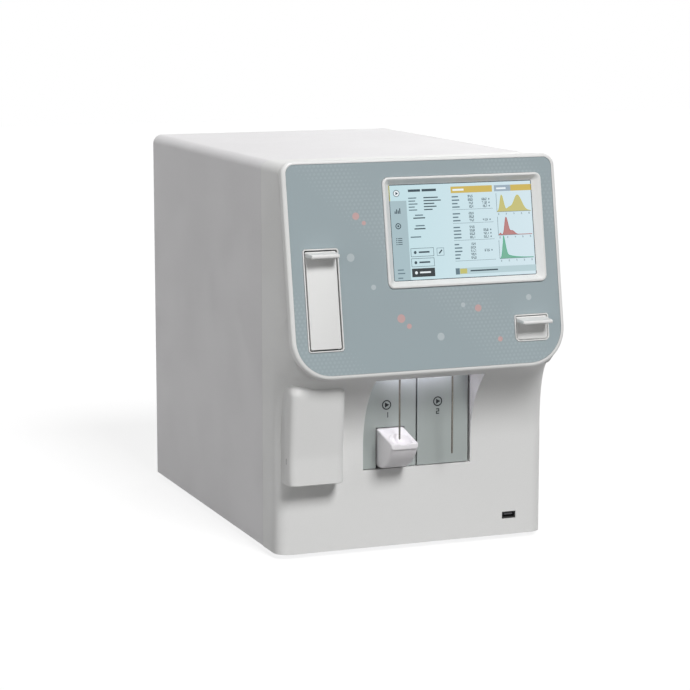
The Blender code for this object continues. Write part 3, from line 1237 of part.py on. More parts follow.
def make_fan():
    """The cooling fan: housing with spokes and a post, impeller on the post, guard outside."""
    rear = BLOCK_REAR_Y
    front = rear - FAN_DEPTH
    half = FAN_SIZE / 2
    housing = box("fan_housing", (FAN_X - half, front, FAN_Z - half),
                  (FAN_X + half, rear, FAN_Z + half), BLACK)
    cut(housing, rod("fan_bore", (FAN_X, front - OVERRUN, FAN_Z), (FAN_X, rear + OVERRUN, FAN_Z),
                     FAN_BORE, None, None, ROUND_SIDES))
    bar = FAN_SPOKE / 2
    reach = FAN_BORE + FAN_WALL / 2
    for across, up in ((reach, bar), (bar, reach)):
        join(housing, box("spoke", (FAN_X - across, front, FAN_Z - up),
                          (FAN_X + across, front + FAN_SPOKE, FAN_Z + up)))
    join(housing, rod("post", (FAN_X, front + bar, FAN_Z), (FAN_X, rear - FAN_SPOKE, FAN_Z),
                      FAN_POST))
    start = front + FAN_SPOKE + GAP
    end = rear - FAN_CLEARANCE
    impeller = rod("fan_impeller", (FAN_X, start, FAN_Z), (FAN_X, end, FAN_Z), FAN_HUB, DARK,
                   None, ROUND_SIDES)
    tip = FAN_BORE - FAN_CLEARANCE * 2
    middle = (start + end) / 2
    chord = (end - start) / 2 - FAN_CLEARANCE
    for blade in range(FAN_BLADES):
        piece = box("blade", (FAN_HUB / 2, -chord, -BLADE_THICKNESS / 2),
                    (tip, chord, BLADE_THICKNESS / 2))
        turn = Matrix.Rotation(2 * pi * blade / FAN_BLADES, 4, "Y")
        place = Matrix.Translation((FAN_X, middle, FAN_Z))
        piece.data.transform(place @ turn @ Matrix.Rotation(BLADE_PITCH, 4, "X"))
        join(impeller, piece)
    cut(impeller, rod("post_bore", (FAN_X, start - OVERRUN, FAN_Z), (FAN_X, end + OVERRUN, FAN_Z),
                      FAN_POST + GAP))
    hang_from(impeller, anchor("fan_pivot", (FAN_X, middle, FAN_Z), 0.0, BODY))
    low, high = DEPTH + GAP, DEPTH + GAP + GUARD_DEPTH
    wire = GUARD_WIRE / 2
    guard = box("fan_guard", (FAN_X - half, low, FAN_Z - wire), (FAN_X + half, high, FAN_Z + wire),
                STEEL)
    join(guard, box("bar", (FAN_X - wire, low, FAN_Z - half), (FAN_X + wire, high, FAN_Z + half)))
    for share in GUARD_RING_SHARES:
        radius = half * share
        join(guard, plate("ring", [circle(FAN_X, FAN_Z, radius + wire, ROUND_SIDES),
                                   circle(FAN_X, FAN_Z, radius - wire, ROUND_SIDES)[::-1]],
                          low, high))


def make_power_entry():
    """The mains inlet in the rear panel, and its rocker switch, tilted to one side."""
    lip = INLET_LIP
    front = REAR_IN_Y - INLET_DEPTH
    back = DEPTH + GAP + INLET_FLANGE
    inlet = box("power_inlet", (INLET_LEFT, front, INLET_LOW), (INLET_RIGHT, back, INLET_HIGH),
                BLACK)
    join(inlet, box("flange", (INLET_LEFT - lip, DEPTH + GAP, INLET_LOW - lip),
                    (INLET_RIGHT + lip, back, INLET_HIGH + lip)))
    middle = (INLET_LEFT + INLET_RIGHT) / 2
    socket = INLET_WIDTH / 2 - lip
    cut(inlet, box("socket", (middle - socket, back - SOCKET_DEPTH, INLET_LOW + lip),
                   (middle + socket, back + OVERRUN, INLET_LOW + lip + SOCKET_HEIGHT)))
    room = ROCKER_ROOM
    across, up = ROCKER_WIDTH / 2, ROCKER_HEIGHT / 2
    centre_z = INLET_HIGH - lip - up
    cut(inlet, box("rocker_well", (middle - across - GAP, back - ROCKER_DEPTH - room,
                                   centre_z - up - room),
                   (middle + across + GAP, back + OVERRUN, centre_z + up + room)))
    centre_y = back + ROCKER_PROUD - ROCKER_DEPTH / 2
    pivot = anchor("switch_pivot", (middle, centre_y, centre_z), ROCKER_TILT, BODY)
    deep = ROCKER_DEPTH / 2
    box("power_switch", (-across, -deep, -up), (across, deep, up), BLACK, pivot)


def make_rear_sockets():
    """What passes through the rear panel: hose fittings, sensor sockets and data ports."""
    rear = BLOCK_REAR_Y
    front = rear - BLOCK_DEPTH
    half = BLOCK_HEIGHT / 2
    low, high = NIPPLE_XS[0] - half, NIPPLE_XS[-1] + half
    fittings = box("reagent_fittings", (low, front, NIPPLE_Z - half), (high, rear, NIPPLE_Z + half),
                   CLEAR)
    tip = DEPTH + NIPPLE_LENGTH
    for x in NIPPLE_XS:
        join(fittings, rod("nipple", (x, front + half, NIPPLE_Z), (x, tip, NIPPLE_Z),
                           NIPPLE_RADIUS))
    for x in NIPPLE_XS:
        cut(fittings, rod("nipple_bore", (x, rear, NIPPLE_Z), (x, tip + OVERRUN, NIPPLE_Z),
                          NIPPLE_BORE))
    sensors = box("sensor_sockets", (SENSOR_XS[0] - half, front, SOCKETS_Z - half),
                  (SENSOR_XS[-1] + half, rear, SOCKETS_Z + half), DARK)
    face = DEPTH + SENSOR_PROUD
    for x in SENSOR_XS:
        join(sensors, rod("socket", (x, front + half, SOCKETS_Z), (x, face, SOCKETS_Z),
                          SENSOR_RADIUS))
        cut(sensors, rod("recess", (x, face - SENSOR_RECESS, SOCKETS_Z),
                         (x, face + OVERRUN, SOCKETS_Z), SENSOR_RADIUS - SENSOR_WALL))
    edge = PORTS_BLOCK / 2
    side = PORTS_SIZE / 2
    mouth = side - PORTS_WALL
    ports = box("data_ports", (PORTS_XS[-1] - edge, front, SOCKETS_Z - edge),
                (PORTS_XS[0] + edge, rear, SOCKETS_Z + edge), BLACK)
    for x in PORTS_XS:
        join(ports, box("port", (x - side, front + edge, SOCKETS_Z - side),
                        (x + side, DEPTH, SOCKETS_Z + side)))
        cut(ports, box("port_mouth", (x - mouth, DEPTH - PORTS_RECESS, SOCKETS_Z - mouth),
                       (x + mouth, DEPTH + OVERRUN, SOCKETS_Z + mouth)))


def make_feet():
    """Four round feet under the tray."""
    number = 0
    for x in (-HALF + FOOT_INSET, HALF - FOOT_INSET):
        for y in (FOOT_INSET, DEPTH - FOOT_INSET):
            number += 1
            rod("foot_%d" % number, (x, y, 0), (x, y, FOOT_HEIGHT - GAP),
                FOOT_RADIUS - FOOT_TAPER, DARK, None, FINE_SIDES, FOOT_RADIUS)


make_front_casing()
make_cabinet_cover()
make_fascia_frame()
make_fascia_overlay()
make_display()
make_tube_door()
make_pipette_drawer()
make_niche()
make_start_plates()
make_rinse_cup()
make_needles()
make_mixer()
make_front_port()
make_inner_frame()
make_electronics()
make_fluidics()
make_fan()
make_power_entry()
make_rear_sockets()
make_feet()
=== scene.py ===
# %% [markdown]
# A bench-top hematology analyzer, dressed over its fixed construction model.
# The construction model brings every part at its real size and place. This script gives each
# visible part a fine surface and a finish, and leaves every part where it stands.

# %% Load the fixed construction model
from math import cos, pi, radians, sin, sqrt, tan
import bmesh
import bpy
import numpy as np
from mathutils import Matrix, Vector


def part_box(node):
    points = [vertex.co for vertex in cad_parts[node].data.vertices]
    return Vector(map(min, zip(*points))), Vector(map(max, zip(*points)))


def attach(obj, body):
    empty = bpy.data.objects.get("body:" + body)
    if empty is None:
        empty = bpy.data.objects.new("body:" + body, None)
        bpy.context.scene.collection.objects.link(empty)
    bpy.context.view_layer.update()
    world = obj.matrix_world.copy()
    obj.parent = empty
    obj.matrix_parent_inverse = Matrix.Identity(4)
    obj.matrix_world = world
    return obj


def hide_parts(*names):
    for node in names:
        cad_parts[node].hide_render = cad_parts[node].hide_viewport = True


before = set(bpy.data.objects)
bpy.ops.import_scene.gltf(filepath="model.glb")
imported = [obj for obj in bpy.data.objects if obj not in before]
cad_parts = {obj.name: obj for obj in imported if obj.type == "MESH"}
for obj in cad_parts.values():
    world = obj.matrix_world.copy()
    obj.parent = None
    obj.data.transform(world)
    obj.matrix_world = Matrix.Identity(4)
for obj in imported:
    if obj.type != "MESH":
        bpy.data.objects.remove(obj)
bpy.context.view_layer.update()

# %% [markdown]
# Every place below is in metres. X runs to the viewer's right, Y away from the viewer and Z up.
# The lower front of the real cabinet is one flat face, so depths are counted from that face.
# The head leans back over it, so its face has a frame of its own: x, depth behind the face and
# height up the face. One matrix takes points from that frame to the world.

# %% Driving places, read from the construction model where it has them
GAP = 0.0003
FRONT_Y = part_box("front_port")[0][1] - GAP
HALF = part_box("front_casing")[1][0]
BODY_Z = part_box("front_casing")[0][2]
TOP_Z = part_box("front_casing")[1][2]
SEAM_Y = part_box("front_casing")[1][1]
REAR_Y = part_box("cabinet_cover")[1][1]
HEAD_TILT = radians(10.09)
HEAD_BOTTOM_Z = 0.1883
HEAD_OVERHANG = 0.0503
HEAD = (Matrix.Translation((0, FRONT_Y - HEAD_OVERHANG, HEAD_BOTTOM_Z))
        @ Matrix.Rotation(-HEAD_TILT, 4, "X"))
print("front face", round(FRONT_Y, 4), "half width", round(HALF, 4))

# %% [markdown]
# A long lens from well back keeps the upright edges nearly parallel, as in a catalogue picture.
# Its heading, height and distance were fitted to the corners of the cabinet.

# %% Camera
CAMERA_HEADING = radians(-21.246)
CAMERA_RISE = radians(9.356)
CAMERA_DISTANCE = 2.2974
CAMERA_LENS_MM = 121.04
LOOK_AT = Vector((-0.0745, FRONT_Y, 0.2136))


def make_camera():
    """Stands the camera at its heading and height round the point that it looks at."""
    away = Vector((sin(CAMERA_HEADING) * cos(CAMERA_RISE),
                   -cos(CAMERA_HEADING) * cos(CAMERA_RISE), sin(CAMERA_RISE)))
    lens = bpy.data.cameras.new("camera")
    lens.lens = CAMERA_LENS_MM
    lens.clip_end = 20
    camera = bpy.data.objects.new("camera", lens)
    camera.location = LOOK_AT + away * CAMERA_DISTANCE
    camera.rotation_euler = (-away).to_track_quat("-Z", "Y").to_euler()
    bpy.context.scene.collection.objects.link(camera)
    bpy.context.scene.camera = camera
    print("camera at", [round(value, 3) for value in camera.location])


make_camera()

# %% [markdown]
# The studio is white all round, with a large soft light from above and in front. The left side
# of the cabinet is only filled by light from the room. Sun lamps with a wide angle have no
# falloff, so the floor stays even out to its edges, and their shadows are as soft as a softbox's.

# %% Light and background
ROOM_STRENGTH = 0.06
LAMPS = (("key", 2.42, 20, (0.12, -0.80, 0.78)),
         ("overhead", 0.40, 20, (-0.15, 0.30, 1.0)),
         ("rear", 0.62, 40, (0.9, 1.0, 0.6)),
         ("left", 0.68, 40, (-1.0, -0.30, 0.25)))


def seen_directly(tree):
    """Adds a socket that is 1 for camera, mirror and glass rays and 0 for light that bounces."""
    path = tree.nodes.new("ShaderNodeLightPath")
    total = path.outputs["Is Camera Ray"]
    for name in ("Is Glossy Ray", "Is Transmission Ray"):
        either = tree.nodes.new("ShaderNodeMath")
        either.operation = "MAXIMUM"
        tree.links.new(total, either.inputs[0])
        tree.links.new(path.outputs[name], either.inputs[1])
        total = either.outputs[0]
    return total


def make_light():
    """A white room for what is seen directly, a dimmer one for bounces, and soft lamps."""
    world = bpy.data.worlds.new("white_room")
    bpy.context.scene.world = world
    world.use_nodes = True
    tree = world.node_tree
    strength = tree.nodes.new("ShaderNodeMapRange")
    strength.inputs["To Min"].default_value = ROOM_STRENGTH
    strength.inputs["To Max"].default_value = 1.0
    tree.links.new(seen_directly(tree), strength.inputs["Value"])
    room = tree.nodes["Background"]
    room.inputs["Color"].default_value = (1, 1, 1, 1)
    tree.links.new(strength.outputs["Result"], room.inputs["Strength"])
    for name, power, spread, toward in LAMPS:
        sun = bpy.data.lights.new(name + "_lamp", "SUN")
        sun.energy = power
        sun.angle = radians(spread)
        lamp = bpy.data.objects.new(name + "_lamp", sun)
        lamp.rotation_euler = Vector(toward).to_track_quat("Z", "Y").to_euler()
        bpy.context.scene.collection.objects.link(lamp)
    bpy.context.scene.view_settings.view_transform = "Standard"


make_light()

# %% [markdown]
# The floor is a pale sheet. It glows a little for the camera only, so that it meets the white
# background without an edge, and still shows the shadow that the cabinet throws.

# %% Floor
FLOOR_SIZE = 12.0
FLOOR_PAINT = 0.27
FLOOR_GLOW = 0.80


def make_floor():
    """One large flat square under the feet."""
    reach = FLOOR_SIZE / 2
    mesh = bpy.data.meshes.new("floor")
    mesh.from_pydata([(-reach, -reach, 0), (reach, -reach, 0), (reach, reach, 0),
                      (-reach, reach, 0)], [], [(0, 1, 2, 3)])
    floor = bpy.data.objects.new("floor", mesh)
    bpy.context.scene.collection.objects.link(floor)
    paper = bpy.data.materials.new("floor_paper")
    paper.use_nodes = True
    tree = paper.node_tree
    shader = tree.nodes["Principled BSDF"]
    shader.inputs["Base Color"].default_value = (FLOOR_PAINT, FLOOR_PAINT, FLOOR_PAINT, 1)
    shader.inputs["Roughness"].default_value = 0.9
    shader.inputs["Specular IOR Level"].default_value = 0.0
    shader.inputs["Emission Color"].default_value = (1, 1, 1, 1)
    glow = tree.nodes.new("ShaderNodeMath")
    glow.operation = "MULTIPLY"
    glow.inputs[1].default_value = FLOOR_GLOW
    tree.links.new(seen_directly(tree), glow.inputs[0])
    tree.links.new(glow.outputs[0], shader.inputs["Emission Strength"])
    mesh.materials.append(paper)


make_floor()

# %% [markdown]
# A shape here is a pair: an array of points and a list of faces. Small functions make shapes
# from formulas, so that a bezel, a trim and a rim can share one way of being drawn.

# %% Shapes from arrays
CORNER_STEPS = 12
LEAST_RADIUS = 0.0001


def grid(rows, wrap_across=False, wrap_along=False, capped=False):
    """A skin over rows of points: row i, point j joins row i + 1, point j + 1.

    rows has the shape (rows, points, 3). It may close on itself across or along, and its first
    and last rows may be filled.
    """
    rows = np.asarray(rows, dtype=float)
    count, width = rows.shape[:2]
    across = np.arange(width if wrap_across else width - 1)
    along = np.arange(count if wrap_along else count - 1)
    here, right = along[:, None] * width + across, along[:, None] * width + (across + 1) % width
    step = ((along[:, None] + 1) % count - along[:, None]) * width
    faces = np.stack([here, right, right + step, here + step], axis=-1).reshape(-1, 4).tolist()
    if capped:
        faces.append(list(range(width))[::-1])
        faces.append(list(range((count - 1) * width, count * width)))
    return rows.reshape(-1, 3), faces


def together(*shapes):
    """Several shapes as one: the points follow each other and the faces count on."""
    points, faces, start = [], [], 0
    for some_points, some_faces in shapes:
        points.append(some_points)
        faces += [[index + start for index in face] for face in some_faces]
        start += len(some_points)
    return np.concatenate(points), faces


def moved(shape, matrix):
    """The shape with every point multiplied by a 4 by 4 matrix."""
    points, faces = shape
    turn = np.array(matrix)
    return points @ turn[:3, :3].T + turn[:3, 3], faces


def outline(frame_of, inset=0.0, rise=None, steps=CORNER_STEPS):
    """A rectangle with round corners, drawn in by an inset, as rows of (x, z).

    frame_of is (left, right, low, high, low radius, top radius). Each corner is a quarter circle
    round a centre that stays put as the inset grows, until its radius is used up.
    """
    left, right, low, high, low_radius, top_radius = frame_of
    rise = inset if rise is None else rise
    radius = np.maximum(np.array([low_radius, top_radius, top_radius, low_radius]) - inset,
                        LEAST_RADIUS)
    x = np.array([right - inset, right - inset, left + inset, left + inset])
    z = np.array([low + rise, high - rise, high - rise, low + rise])
    x = x + radius * np.array([-1, -1, 1, 1])
    z = z + radius * np.array([1, -1, -1, 1])
    turn = (np.linspace(0, pi / 2, steps + 1) + np.array([[-1], [0], [1], [2]]) * pi / 2)
    return np.stack([x[:, None] + radius[:, None] * np.cos(turn),
                     z[:, None] + radius[:, None] * np.sin(turn)], axis=-1).reshape(-1, 2)


def stood(flat, depth):
    """Points (x, z) stood up at a depth: (x, depth, z)."""
    flat = np.asarray(flat, dtype=float)
    return np.stack([flat[:, 0], np.full(len(flat), depth), flat[:, 1]], axis=-1)


def framed(frame_of, profile, closed=True):
    """Sweeps a profile of (inset, depth) round a rounded rectangle.

    A closed profile makes a frame, and an open one makes a lid whose two ends are filled.
    """
    rows = [stood(outline(frame_of, inset), depth) for inset, depth in profile]
    return grid(rows, wrap_across=True, wrap_along=closed, capped=not closed)


def bend(centre, radius, start, end, steps=6):
    """Points on an arc of a circle, from one angle in degrees to another."""
    turn = np.radians(np.linspace(start, end, steps + 1))
    return [(centre[0] + radius * cos(angle), centre[1] + radius * sin(angle)) for angle in turn]


def slab(outlines, front, back):
    """A flat plate with holes in (x, z), between two depths: Blender fills the flat curve."""
    curve = bpy.data.curves.new("flat", "CURVE")
    curve.dimensions = "2D"
    curve.fill_mode = "BOTH"
    curve.extrude = (back - front) / 2
    for points in outlines:
        spline = curve.splines.new("POLY")
        spline.points.add(len(points) - 1)
        flat = np.zeros((len(points), 4))
        flat[:, :2] = points
        flat[:, 3] = 1
        spline.points.foreach_set("co", flat.ravel())
        spline.use_cyclic_u = True
    drawn = bpy.data.objects.new("flat", curve)
    bpy.context.scene.collection.objects.link(drawn)
    bpy.context.view_layer.update()
    mesh = bpy.data.meshes.new_from_object(drawn.evaluated_get(bpy.context.evaluated_depsgraph_get()))
    points = np.zeros(len(mesh.vertices) * 3)
    mesh.vertices.foreach_get("co", points)
    points = points.reshape(-1, 3)
    faces = [list(polygon.vertices) for polygon in mesh.polygons]
    bpy.data.objects.remove(drawn)
    bpy.data.curves.remove(curve)
    bpy.data.meshes.remove(mesh)
    return np.stack([points[:, 0], (front + back) / 2 - points[:, 2], points[:, 1]], axis=-1), faces


def block(low, high):
    """A box between two corners."""
    return framed((low[0], high[0], low[2], high[2], 0, 0), [(0, high[1]), (0, low[1])], False)


def turned(profile, centre, axis="Z", sides=48):
    """Spins a profile of (radius, height) round an axis through a centre and caps its ends."""
    profile = np.asarray(profile, dtype=float)
    turn = np.linspace(0, 2 * pi, sides, endpoint=False)
    across = profile[:, :1] * np.cos(turn)
    beside = profile[:, :1] * np.sin(turn)
    height = np.repeat(profile[:, 1:], sides, axis=1)
    order = {"Z": (across, beside, height), "Y": (beside, height, across),
             "X": (height, across, beside)}[axis]
    return grid(np.stack(order, axis=-1) + np.array(centre), wrap_across=True, capped=True)


# %% [markdown]
# Each finished shape becomes one piece. It takes its finish, it rides on the body whose part it
# dresses, and it names the construction parts that it stands for. Sharp edges stay sharp by
# angle, and a bevel of a few tenths of a millimetre gives them the bright line of a real edge.

# %% Pieces
SHARP_ANGLE = radians(32)


def piece(name, shape, look, body="cabinet", nodes=(), edge=0.0, place=None, wall=0.0):
    """Makes an object of a shape, with its doubles merged and its faces turned outwards."""
    points, faces = moved(shape, place) if place else shape
    mesh = bpy.data.meshes.new(name)
    mesh.from_pydata(points.tolist(), [], faces)
    made = bpy.data.objects.new(name, mesh)
    bpy.context.scene.collection.objects.link(made)
    clean(mesh)
    if wall:
        shell = made.modifiers.new("wall", "SOLIDIFY")
        shell.thickness = wall
        shell.offset = -1
        shell.use_even_offset = True
    if edge:
        round_off = made.modifiers.new("edge", "BEVEL")
        round_off.width = edge
        round_off.segments = 2
        round_off.limit_method = "ANGLE"
        round_off.angle_limit = radians(40)
        round_off.harden_normals = True
    material, slot = look
    mesh.materials.append(material)
    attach(made, body)
    if nodes:
        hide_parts(*nodes)
    print(name, len(mesh.polygons), "faces")
    return made


def clean(mesh):
    """Merges points that meet, turns the faces outwards and shades by angle."""
    worked = bmesh.new()
    worked.from_mesh(mesh)
    bmesh.ops.remove_doubles(worked, verts=worked.verts, dist=0.000002)
    bmesh.ops.recalc_face_normals(worked, faces=worked.faces)
    worked.to_mesh(mesh)
    worked.free()
    mesh.shade_smooth()
    mesh.set_sharp_from_angle(angle=SHARP_ANGLE)


# %% [markdown]
# Materials are built from short calls that add a node, set or link its inputs and return it.

# %% Node helpers


def node(tree, kind, inputs=None, **settings):
    """Adds a shader node. An input may be a number, a colour or the socket that feeds it."""
    made = tree.nodes.new("ShaderNode" + kind)
    for name, value in settings.items():
        setattr(made, name, value)
    for name, value in (inputs or {}).items():
        if isinstance(value, bpy.types.NodeSocket):
            tree.links.new(value, made.inputs[name])
        else:
            made.inputs[name].default_value = value
    return made


def maths(tree, operation, first, second=0.0, third=0.0, clamp=False):
    """One step of arithmetic on sockets or numbers."""
    return node(tree, "Math", {0: first, 1: second, 2: third}, operation=operation,
                use_clamp=clamp).outputs[0]


def vectors(tree, operation, first, second=(0, 0, 0), output=0):
    """One step of vector arithmetic on sockets or constants."""
    made = node(tree, "VectorMath", {0: first, 1: second}, operation=operation)
    return made.outputs[output]


def new_group(name, inputs, outputs):
    """An empty node group with named sockets: (tree, its input node, its output node)."""
    tree = bpy.data.node_groups.new(name, "ShaderNodeTree")
    for title, kind, value in inputs:
        socket = tree.interface.new_socket(title, in_out="INPUT", socket_type="NodeSocket" + kind)
        if value is not None:
            socket.default_value = value
    for title, kind in outputs:
        tree.interface.new_socket(title, in_out="OUTPUT", socket_type="NodeSocket" + kind)
    return tree, tree.nodes.new("NodeGroupInput"), tree.nodes.new("NodeGroupOutput")


def use_group(tree, group, **inputs):
    """Places a group in a tree. Underscores in the names stand for spaces."""
    made = tree.nodes.new("ShaderNodeGroup")
    made.node_tree = group
    for name, value in inputs.items():
        title = name.replace("_", " ")
        if isinstance(value, bpy.types.NodeSocket):
            tree.links.new(value, made.inputs[title])
        else:
            made.inputs[title].default_value = value
    return made


# %% [markdown]
# Three effects are shared by many finishes. Moulded plastic and powder paint have a fine grain
# of bumps under half a millimetre. Hands and cloths leave broad patches that are a little
# glossier or duller. Dust lies on what faces up. Each is a group with its own amounts.

# %% Shared effects
def make_grain_group():
    """Fine pebbles: cell noise at the pitch, softened by cloud noise a third as fine."""
    tree, start, end = new_group("moulded_grain", (("Vector", "Vector", None),
                                                   ("Pitch", "Float", 0.0005)),
                                 (("Height", "Float"), ("Mottle", "Float")))
    scale = maths(tree, "DIVIDE", 1.0, start.outputs["Pitch"])
    pebbles = node(tree, "TexVoronoi", {"Vector": start.outputs["Vector"], "Scale": scale},
                   feature="SMOOTH_F1")
    cloud = node(tree, "TexNoise", {"Vector": start.outputs["Vector"], "Detail": 3.0,
                                    "Scale": maths(tree, "DIVIDE", scale, 3.0)})
    height = maths(tree, "ADD", pebbles.outputs["Distance"], cloud.outputs["Fac"])
    tree.links.new(height, end.inputs["Height"])
    tree.links.new(cloud.outputs["Fac"], end.inputs["Mottle"])
    return tree


def make_smudge_group():
    """Broad soft patches: two sizes of cloud noise, kept near the middle value."""
    tree, start, end = new_group("smudges", (("Vector", "Vector", None),
                                             ("Size", "Float", 0.05)), (("Patch", "Float"),))
    scale = maths(tree, "DIVIDE", 1.0, start.outputs["Size"])
    broad = node(tree, "TexNoise", {"Vector": start.outputs["Vector"], "Scale": scale,
                                    "Detail": 4.0, "Roughness": 0.6, "Distortion": 0.4})
    patch = node(tree, "MapRange", {"Value": broad.outputs["Fac"], "From Min": 0.3,
                                    "From Max": 0.7}, interpolation_type="SMOOTHSTEP")
    tree.links.new(patch.outputs["Result"], end.inputs["Patch"])
    return tree


def make_dust_group():
    """Dust where a face looks up: the normal's Z, broken by fine noise."""
    tree, start, end = new_group("dust", (("Vector", "Vector", None), ("Amount", "Float", 0.1)),
                                 (("Mask", "Float"),))
    facing = node(tree, "NewGeometry")
    upward = node(tree, "SeparateXYZ", {"Vector": facing.outputs["Normal"]}).outputs["Z"]
    lying = node(tree, "MapRange", {"Value": upward, "From Min": 0.5, "From Max": 1.0})
    specks = node(tree, "TexNoise", {"Vector": start.outputs["Vector"], "Scale": 220.0,
                                     "Detail": 5.0, "Roughness": 0.75})
    broken = node(tree, "MapRange", {"Value": specks.outputs["Fac"], "From Min": 0.45,
                                     "From Max": 0.75})
    mask = maths(tree, "MULTIPLY", lying.outputs["Result"], broken.outputs["Result"])
    mask = maths(tree, "MULTIPLY", mask, start.outputs["Amount"], clamp=True)
    tree.links.new(mask, end.inputs["Mask"])
    return tree


GRAIN = make_grain_group()
SMUDGES = make_smudge_group()
DUST = make_dust_group()
print("shared effects", [group.name for group in (GRAIN, SMUDGES, DUST)])

# %% [markdown]
# One function builds every plain finish from the shared effects: a colour that varies a little
# from place to place, the grain as a bump, smudges in the gloss and a trace of dust on top.

# %% Finishes
DUST_COLOUR = (0.55, 0.53, 0.49, 1)
MOTTLE_SHARE = 0.035


def start_material(name, roughness=0.5, metallic=0.0, specular=0.5):
    """A new material: (material, tree, shader, socket with places in metres)."""
    made = bpy.data.materials.new(name)
    made.use_nodes = True
    tree = made.node_tree
    shader = tree.nodes["Principled BSDF"]
    shader.inputs["Roughness"].default_value = roughness
    shader.inputs["Metallic"].default_value = metallic
    shader.inputs["Specular IOR Level"].default_value = specular
    return made, tree, shader, node(tree, "TexCoord").outputs["Object"]


def mixed(tree, share, first, second):
    """Mixes two colours by a share."""
    made = node(tree, "Mix", data_type="RGBA")
    for socket, value in ((made.inputs[0], share), (made.inputs[6], first),
                          (made.inputs[7], second)):
        if isinstance(value, bpy.types.NodeSocket):
            tree.links.new(value, socket)
        else:
            socket.default_value = value
    return made.outputs[2]


def dress(tree, shader, places, colour, roughness, pitch, bump, smudge, dust):
    """Links the shared effects round a colour: grain bump, mottle, smudged gloss and dust."""
    grain = use_group(tree, GRAIN, Vector=places, Pitch=pitch)
    patch = use_group(tree, SMUDGES, Vector=places, Size=0.06).outputs[0]
    lying = use_group(tree, DUST, Vector=places, Amount=dust).outputs[0]
    tone = maths(tree, "MULTIPLY_ADD", grain.outputs["Mottle"], MOTTLE_SHARE,
                 1 - MOTTLE_SHARE / 2)
    tinted = vectors(tree, "SCALE", colour)
    tree.links.new(tone, tinted.node.inputs["Scale"])
    tree.links.new(mixed(tree, lying, tinted, DUST_COLOUR), shader.inputs["Base Color"])
    gloss = maths(tree, "MULTIPLY_ADD", patch, smudge, roughness - smudge / 2)
    gloss = maths(tree, "ADD", gloss, lying, clamp=True)
    tree.links.new(gloss, shader.inputs["Roughness"])
    raised = node(tree, "Bump", {"Strength": bump, "Distance": pitch / 4,
                                 "Height": grain.outputs["Height"]})
    tree.links.new(raised.outputs["Normal"], shader.inputs["Normal"])


def plain_finish(name, slot, colour, roughness, metallic=0.0, pitch=0.0005, bump=0.25,
                 smudge=0.10, dust=0.08, coat=0.0, specular=0.5):
    """A finish of one colour with all shared effects: (material, the name of its slot)."""
    made, tree, shader, places = start_material(name, roughness, metallic, specular)
    shader.inputs["Coat Weight"].default_value = coat
    dress(tree, shader, places, (*colour,), roughness, pitch, bump, smudge, dust)
    return made, slot


MOULDING = plain_finish("white_moulding", "moulding", (0.80, 0.80, 0.79), 0.42)
TRIM = plain_finish("white_trim", "moulding", (0.83, 0.83, 0.82), 0.32, pitch=0.0003, bump=0.1)
COVER = plain_finish("powder_coat", "cover_paint", (0.78, 0.77, 0.78), 0.48, pitch=0.0009,
                     bump=0.30)
PLATE = plain_finish("start_plate", "plate", (0.36, 0.395, 0.385), 0.34, 0.35, 0.0003, 0.1)
MARK = plain_finish("printed_mark", "plate", (0.005, 0.007, 0.009), 0.85, bump=0.05)
BLACK = plain_finish("black_plastic", "black", (0.015, 0.015, 0.016), 0.38, dust=0.15)
DARK = plain_finish("dark_plastic", "dark", (0.08, 0.08, 0.09), 0.50, dust=0.15)
RUBBER = plain_finish("foot_rubber", "foot", (0.05, 0.05, 0.055), 0.75, bump=0.5)
STEEL = plain_finish("ground_steel", "steel", (0.62, 0.62, 0.60), 0.26, 1.0, 0.0002, 0.15, 0.15)
ZINC = plain_finish("zinc_sheet", "zinc", (0.55, 0.56, 0.58), 0.42, 1.0, 0.0012, 0.2, 0.25)

# %% [markdown]
# The front casing is one white moulding. From the bench up its front is flat, then it swells out
# in an arc to carry the head, and above that it leans back behind the fascia. Its upright corners
# are round at the bottom and widen on the arc to follow the fascia's large lower corners.
# It would be injection moulded in one shot, with the openings formed by the tool.

# %% Front casing
CORNER_RADIUS = 0.0145
CURVE_START_Z = 0.108
HEAD_CORNER = 0.004
FLANK_BLEND = 0.022
COVER_FILLET = 0.0103
CASING_WALL = 0.003
FASCIA_HEIGHT = (TOP_Z + 0.0040 - HEAD_BOTTOM_Z) / cos(HEAD_TILT)
FASCIA_DEPTH = 0.008
FASCIA_LOW_RADIUS = 0.040
FASCIA_TOP_RADIUS = 0.013
RIM_FLANGE = 0.012
NICHE_CENTRE = 0.0036
NICHE_WIDTH = 0.1175
NICHE_BASE_Z = 0.0846
NICHE_TOP_Z = 0.182
NICHE_LEFT, NICHE_RIGHT = NICHE_CENTRE - NICHE_WIDTH / 2, NICHE_CENTRE + NICHE_WIDTH / 2
RIM_BACK = FASCIA_DEPTH + GAP
CURVE_END_Z = HEAD_BOTTOM_Z - RIM_BACK * sin(HEAD_TILT)
CURVE_END_OUT = HEAD_OVERHANG - RIM_BACK * cos(HEAD_TILT)
CURVE_RISE = CURVE_END_Z - CURVE_START_Z
CURVE_RADIUS = (CURVE_RISE ** 2 + CURVE_END_OUT ** 2) / (2 * CURVE_END_OUT)
PORT_LOW, PORT_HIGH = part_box("front_port")
ROTOR_LOW, ROTOR_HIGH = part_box("mixer_rotor")
EDGE_COLUMNS = 26
WALL_TOP_Z = TOP_Z - COVER_FILLET


def front_line(z, inset=0.0):
    """How far the front stands behind the flat lower face: 0, then an arc, then the lean."""
    rise = np.maximum(0, z - CURVE_START_Z)
    arc = np.sqrt(np.maximum(0, (CURVE_RADIUS + inset) ** 2 - rise ** 2)) - CURVE_RADIUS
    lean = (-HEAD_OVERHANG + (z - HEAD_BOTTOM_Z) * tan(HEAD_TILT)
            + (RIM_BACK + inset) / cos(HEAD_TILT))
    return np.maximum(arc, lean)


